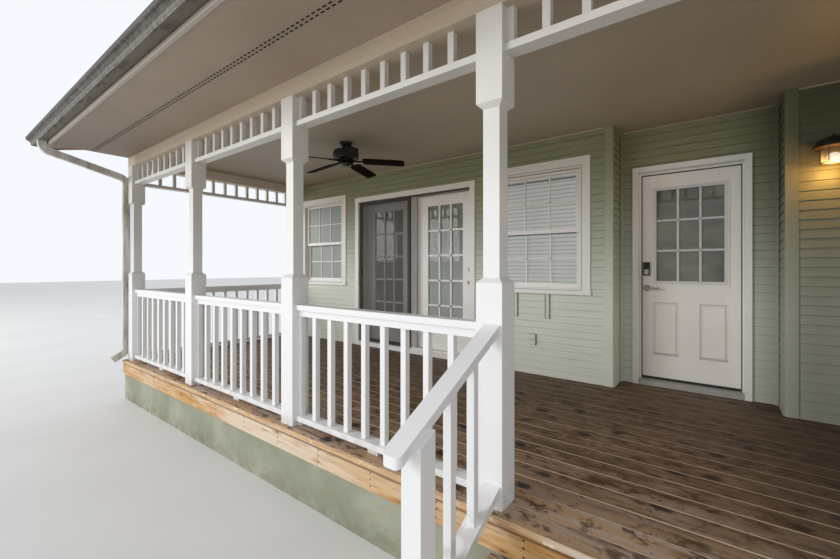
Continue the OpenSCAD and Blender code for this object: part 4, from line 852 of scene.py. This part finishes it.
rubber = Finish("black_seal", rough=0.7)
rubber.feed("Base Color", rubber.mottle(40, (0.012, 0.012, 0.012), (0.03, 0.03, 0.03)))
sweep = bmesh.new()
leaf_face = light_low.y - 0.0195
sweep_left, sweep_right = leaf_low.x + 0.012, leaf_low.x + 0.81
add_box(sweep, (sweep_left, leaf_face - 0.006, leaf_low.z - 0.004),
        (sweep_right, leaf_face + 0.001, leaf_low.z + 0.020))
stand(sweep, "front_door_sweep", rubber, "dark_lock", "front_door_leaf")

lock_metal = Finish("satin_lock", rough=0.35, metal=0.9)
lock_metal.feed("Base Color", lock_metal.mottle(60, (0.20, 0.165, 0.13), (0.32, 0.28, 0.23)))
lock_metal.on("front_door_lock")
keypad_low = Vector((leaf_low.x + 0.023, leaf_face - 0.0235, deck_high.z + 1.100))
keypad_high = keypad_low + Vector((0.060, 0.001, 0.134))
keypad = bmesh.new()
add_box(keypad, keypad_low, keypad_high)
stand(keypad, "keypad_face", rubber, "dark_lock", "front_door_leaf")
keys = bmesh.new()
key_pitch = 0.013
key_size = 0.010
for column in range(3):
    for row in range(4):
        x = keypad_low.x + 0.012 + column * key_pitch
        z = keypad_low.z + 0.012 + row * key_pitch
        add_box(keys, (x, keypad_low.y - 0.002, z), (x + key_size, keypad_low.y + 0.0005, z + key_size))
stand(keys, "keypad_keys", trim, "dark_lock", "front_door_leaf")

frame_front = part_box("front_door_frame")[0].y
metal = Finish("threshold_metal", rough=0.5, metal=0.2)
metal.feed("Base Color", metal.mottle(20, (0.36, 0.35, 0.32), (0.50, 0.49, 0.45), stretch=(1, 8, 8)))
threshold = bmesh.new()
add_box(threshold, (leaf_low.x - 0.007, frame_front - 0.0015, deck_high.z + 0.001),
        (leaf_low.x + 0.834, leaf_face - 0.009, leaf_low.z - 0.0035))
stand(threshold, "door_threshold", metal, "trim_paint")
# Black strips at the sides and head of the leaf: a seal that also stands for the painted shadow in the gap
# around the leaf.
seal = bmesh.new()
seal_left, seal_right = leaf_low.x + 0.006, leaf_low.x + 0.821
seal_front, seal_back = leaf_face - 0.005, leaf_face - 0.001
seal_top = leaf_high.z - 0.009
seal_w = 0.008
for x in (seal_left, seal_right - seal_w):
    add_box(seal, (x, seal_front, leaf_low.z), (x + seal_w, seal_back, seal_top))
add_box(seal, (seal_left, seal_front, seal_top - 0.009), (seal_right, seal_back, seal_top))
stand(seal, "front_door_seal_shadow", rubber, "trim_paint")


# Patio door: two glazed wooden leaves with fifteen panes each. The right one swings in, the left one
# is fixed behind the insect screen, which slides along the outside. A pale curtain hangs on each leaf.
pane_low, pane_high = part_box("patio_leaf_glass")
patio_low, patio_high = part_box("patio_leaf")
leaf_pitch = patio_low.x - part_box("patio_fixed_leaf")[0].x
pane_w = pane_high.x - pane_low.x
pane_h = pane_high.z - pane_low.z
patio_bars = bmesh.new()
fixed_bars = bmesh.new()
for bars, start in ((patio_bars, pane_low.x), (fixed_bars, pane_low.x - leaf_pitch)):
    for front_y in (pane_low.y - 0.015, pane_high.y + 0.001):
        pane_bars(bars, (start, pane_low.z), (start + pane_w, pane_high.z), 3, 5, 0.024,
                  front_y, front_y + 0.014)
stand(patio_bars, "patio_leaf_bars", trim, "trim_paint", "patio_door_leaf")
stand(fixed_bars, "patio_fixed_bars", trim, "trim_paint")

patio_glass = Finish("patio_glass", rough=0.03)
# Painted light and shade: the panes are pale low down and dark high up.
higher = patio_glass.axis("Z").smooth(1.5, 2.3)
patio_glass.feed("Base Color", patio_glass.mix(higher, (0.60, 0.64, 0.60), (0.17, 0.17, 0.11)))
patio_glass.feed("Alpha", patio_glass.node("Fresnel", {}, (1.6,)) * 1.2 + 0.30)
patio_glass.feed("Specular IOR Level", 0.35)
patio_glass.material.surface_render_method = "DITHERED"
patio_glass.on("patio_leaf_glass")

# Painted shade: thin dark strips in the mullion's flutes and in the gap around the swinging leaf.
meeting_gaps = bmesh.new()
mullion_x = pane_low.x - 0.1935
for y in (wall_y + 0.048, wall_y + 0.080):
    add_box(meeting_gaps, (mullion_x, y, pane_low.z - 0.25),
            (mullion_x + 0.001, y + 0.003, patio_high.z - 0.010))
stand(meeting_gaps, "mullion_groove_shadows", dark, "trim_paint")
leaf_gaps = bmesh.new()
leaf_front = patio_low.y
leaf_edge = mullion_x + 0.005
gap_w = 0.004
gap_y = leaf_front - 0.001
add_box(leaf_gaps, (leaf_edge, gap_y, patio_low.z), (leaf_edge + gap_w, leaf_front, patio_high.z))
add_box(leaf_gaps, (leaf_edge, gap_y, patio_high.z - gap_w), (patio_high.x, leaf_front, patio_high.z))
stand(leaf_gaps, "patio_leaf_shadow_gap", dark, "trim_paint", "patio_door_leaf")

brass = Finish("aged_brass", rough=0.3, metal=1.0)
old_bolt = (brass.axis("Z") - pane_low.z).smooth(0.74, 0.75)
knob_tone = brass.mottle(60, (0.30, 0.15, 0.06), (0.50, 0.30, 0.13))
brass.feed("Base Color", brass.mix(old_bolt, knob_tone, (0.10, 0.075, 0.055)))
brass.on("patio_lock")

net = Finish("screen_net", rough=0.6)
screen_low, screen_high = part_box("insect_screen")
screen_mid = (screen_low + screen_high) / 2
screen_half = (screen_high - screen_low) / 2
screen_rim = 0.048
rim_x = abs(net.axis("X") - screen_mid.x) > screen_half.x - screen_rim
rim_z = abs(net.axis("Z") - screen_mid.z) > screen_half.z - screen_rim
on_rim = rim_x.maths("MAXIMUM", rim_x, rim_z)
weave = net.noise(1.0, (500, 500, 500), detail=0)
net_tone = net.ramp(weave, (0.3, (0.12, 0.11, 0.095)), (0.7, (0.20, 0.185, 0.16)))
browns = ((0.018, 0.013, 0.010), (0.032, 0.024, 0.018))
net.feed("Base Color", net.mix(on_rim, net_tone, net.mottle(12, *browns)))
net.feed("Alpha", on_rim.maths("MAXIMUM", on_rim, 0.30 + weave * 0.1))
net.on("insect_screen")
brown = Finish("dark_brown", rough=0.5)
brown.feed("Base Color", brown.mottle(12, *browns))
track = bmesh.new()
door_low, door_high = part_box("patio_door_frame")
track_top = door_high.z - 0.072
track_h = 0.026
jamb = 0.074
add_box(track, (door_low.x + jamb, wall_y + 0.003, track_top - track_h),
        (door_high.x - jamb, wall_y + 0.006, track_top))
stand(track, "screen_track", brown, "screen_frame")

thin_cloth = Finish("pale_curtain", rough=0.9)
cloth_tone = thin_cloth.ramp(thin_cloth.noise(3.0, (4, 4, 0.4), detail=3),
                             (0.35, (0.52, 0.55, 0.49)), (0.65, (0.74, 0.76, 0.71)))
thin_cloth.feed("Base Color", cloth_tone)
hem = 0.03
leaf_curtain = bmesh.new()
fixed_curtain = bmesh.new()
for cloth, start in ((leaf_curtain, pane_low.x), (fixed_curtain, pane_low.x - leaf_pitch)):
    bmesh.ops.create_grid(cloth, x_segments=60, y_segments=1, size=0.5)
    for vert in cloth.verts:
        across = vert.co.x + 0.5
        up = vert.co.y + 0.5
        fold = math.sin(across * 61) * 0.006 + math.sin(across * 23 + 1) * 0.005
        vert.co = Vector((start - hem + across * (pane_w + 2 * hem), patio_high.y + 0.020 + fold,
                          pane_low.z - hem + up * (pane_h + 2 * hem)))
    bmesh.ops.solidify(cloth, geom=cloth.faces[:], thickness=0.002)
stand(leaf_curtain, "patio_leaf_curtain", thin_cloth, "trim_paint", "patio_door_leaf")
stand(fixed_curtain, "patio_fixed_curtain", thin_cloth, "trim_paint")


# Ceiling fan: a dark bronze motor under a short stem, with five stained blades on flat arms. The
# cup below hides the wiring.
bronze = Finish("dark_bronze", rough=0.32, metal=0.2)
bronze.feed("Base Color", bronze.mottle(30, (0.012, 0.010, 0.009), (0.028, 0.023, 0.020)))
bronze.feed("Specular IOR Level", 0.45)
bronze.on("fan_housing")
blade_wood = Finish("stained_blades", rough=0.85)
blade_tone = blade_wood.mottle(1, (0.005, 0.003, 0.002), (0.014, 0.007, 0.005),
                               stretch=(30, 30, 30), detail=5)
blade_wood.feed("Base Color", blade_tone)
blade_wood.feed("Specular IOR Level", 0.1)
blade_wood.on("fan_blades")


# Porch light: a lantern with a domed hood on a short arm, and a clear jar in a wire cage with a lit
# bulb inside. Its rim and cage have gone brown, and it colours the siding near it.
iron = Finish("satin_black", rough=0.45, metal=0.3)
jar_low, jar_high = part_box("porch_light_jar")
below_hood = 1 - iron.axis("Z").smooth(jar_high.z + 0.006, jar_high.z + 0.014)
iron_tone = iron.mottle(40, (0.012, 0.011, 0.010), (0.028, 0.025, 0.022))
rust_tone = iron.mottle(90, (0.035, 0.017, 0.008), (0.10, 0.048, 0.022))
iron.feed("Base Color", iron.mix(below_hood, iron_tone, rust_tone))
iron.on("porch_light")
jar = Finish("lantern_jar", rough=0.08)
# Painted light: the jar's colour and glow stand for the bulb's light in the glass, brightest at the bottom by
# the bulb and dark brown at the top.
jar_up = (jar.axis("Z") - jar_low.z) / (jar_high.z - jar_low.z)
jar_glow_tone = jar.ramp(jar_up, (0.15, (0.98, 0.86, 0.60)), (0.5, (0.70, 0.46, 0.18)),
                    (0.9, (0.20, 0.11, 0.04)))
jar.feed("Base Color", jar_glow_tone)
jar.feed("Emission Color", jar_glow_tone)
jar.feed("Emission Strength", 0.35)
jar.feed("Alpha", 0.35)
jar.on("porch_light_jar")
bulb_glass = Finish("lit_bulb", rough=0.5)
bulb_glass.feed("Base Color", (0.02, 0.02, 0.02))
bulb_glass.feed("Emission Color", bulb_glass.mottle(20, (0.95, 0.86, 0.66), (0.97, 0.91, 0.76)))
bulb_glass.feed("Emission Strength", 1.0)
bulb = bmesh.new()
bulb_middle = Vector(((jar_low.x + jar_high.x) / 2, (jar_low.y + jar_high.y) / 2, jar_low.z + 0.042))
bmesh.ops.create_uvsphere(bulb, u_segments=16, v_segments=10, radius=0.030,
                          matrix=Matrix.Translation(bulb_middle))
bmesh.ops.scale(bulb, vec=(1.25, 1.25, 1), space=Matrix.Translation(-bulb_middle), verts=bulb.verts)
stand(bulb, "lantern_bulb", bulb_glass, "lamp_glass")
glow = bpy.data.objects.new("lantern_glow", bpy.data.lights.new("lantern_glow", "POINT"))
glow.data.energy = 5.6
glow.data.color = (1.0, 0.55, 0.13)
glow.data.shadow_soft_size = 0.025
glow.location = (bulb_middle.x, bulb_middle.y - 0.045, jar_low.z - 0.020)
bpy.context.scene.collection.objects.link(glow)
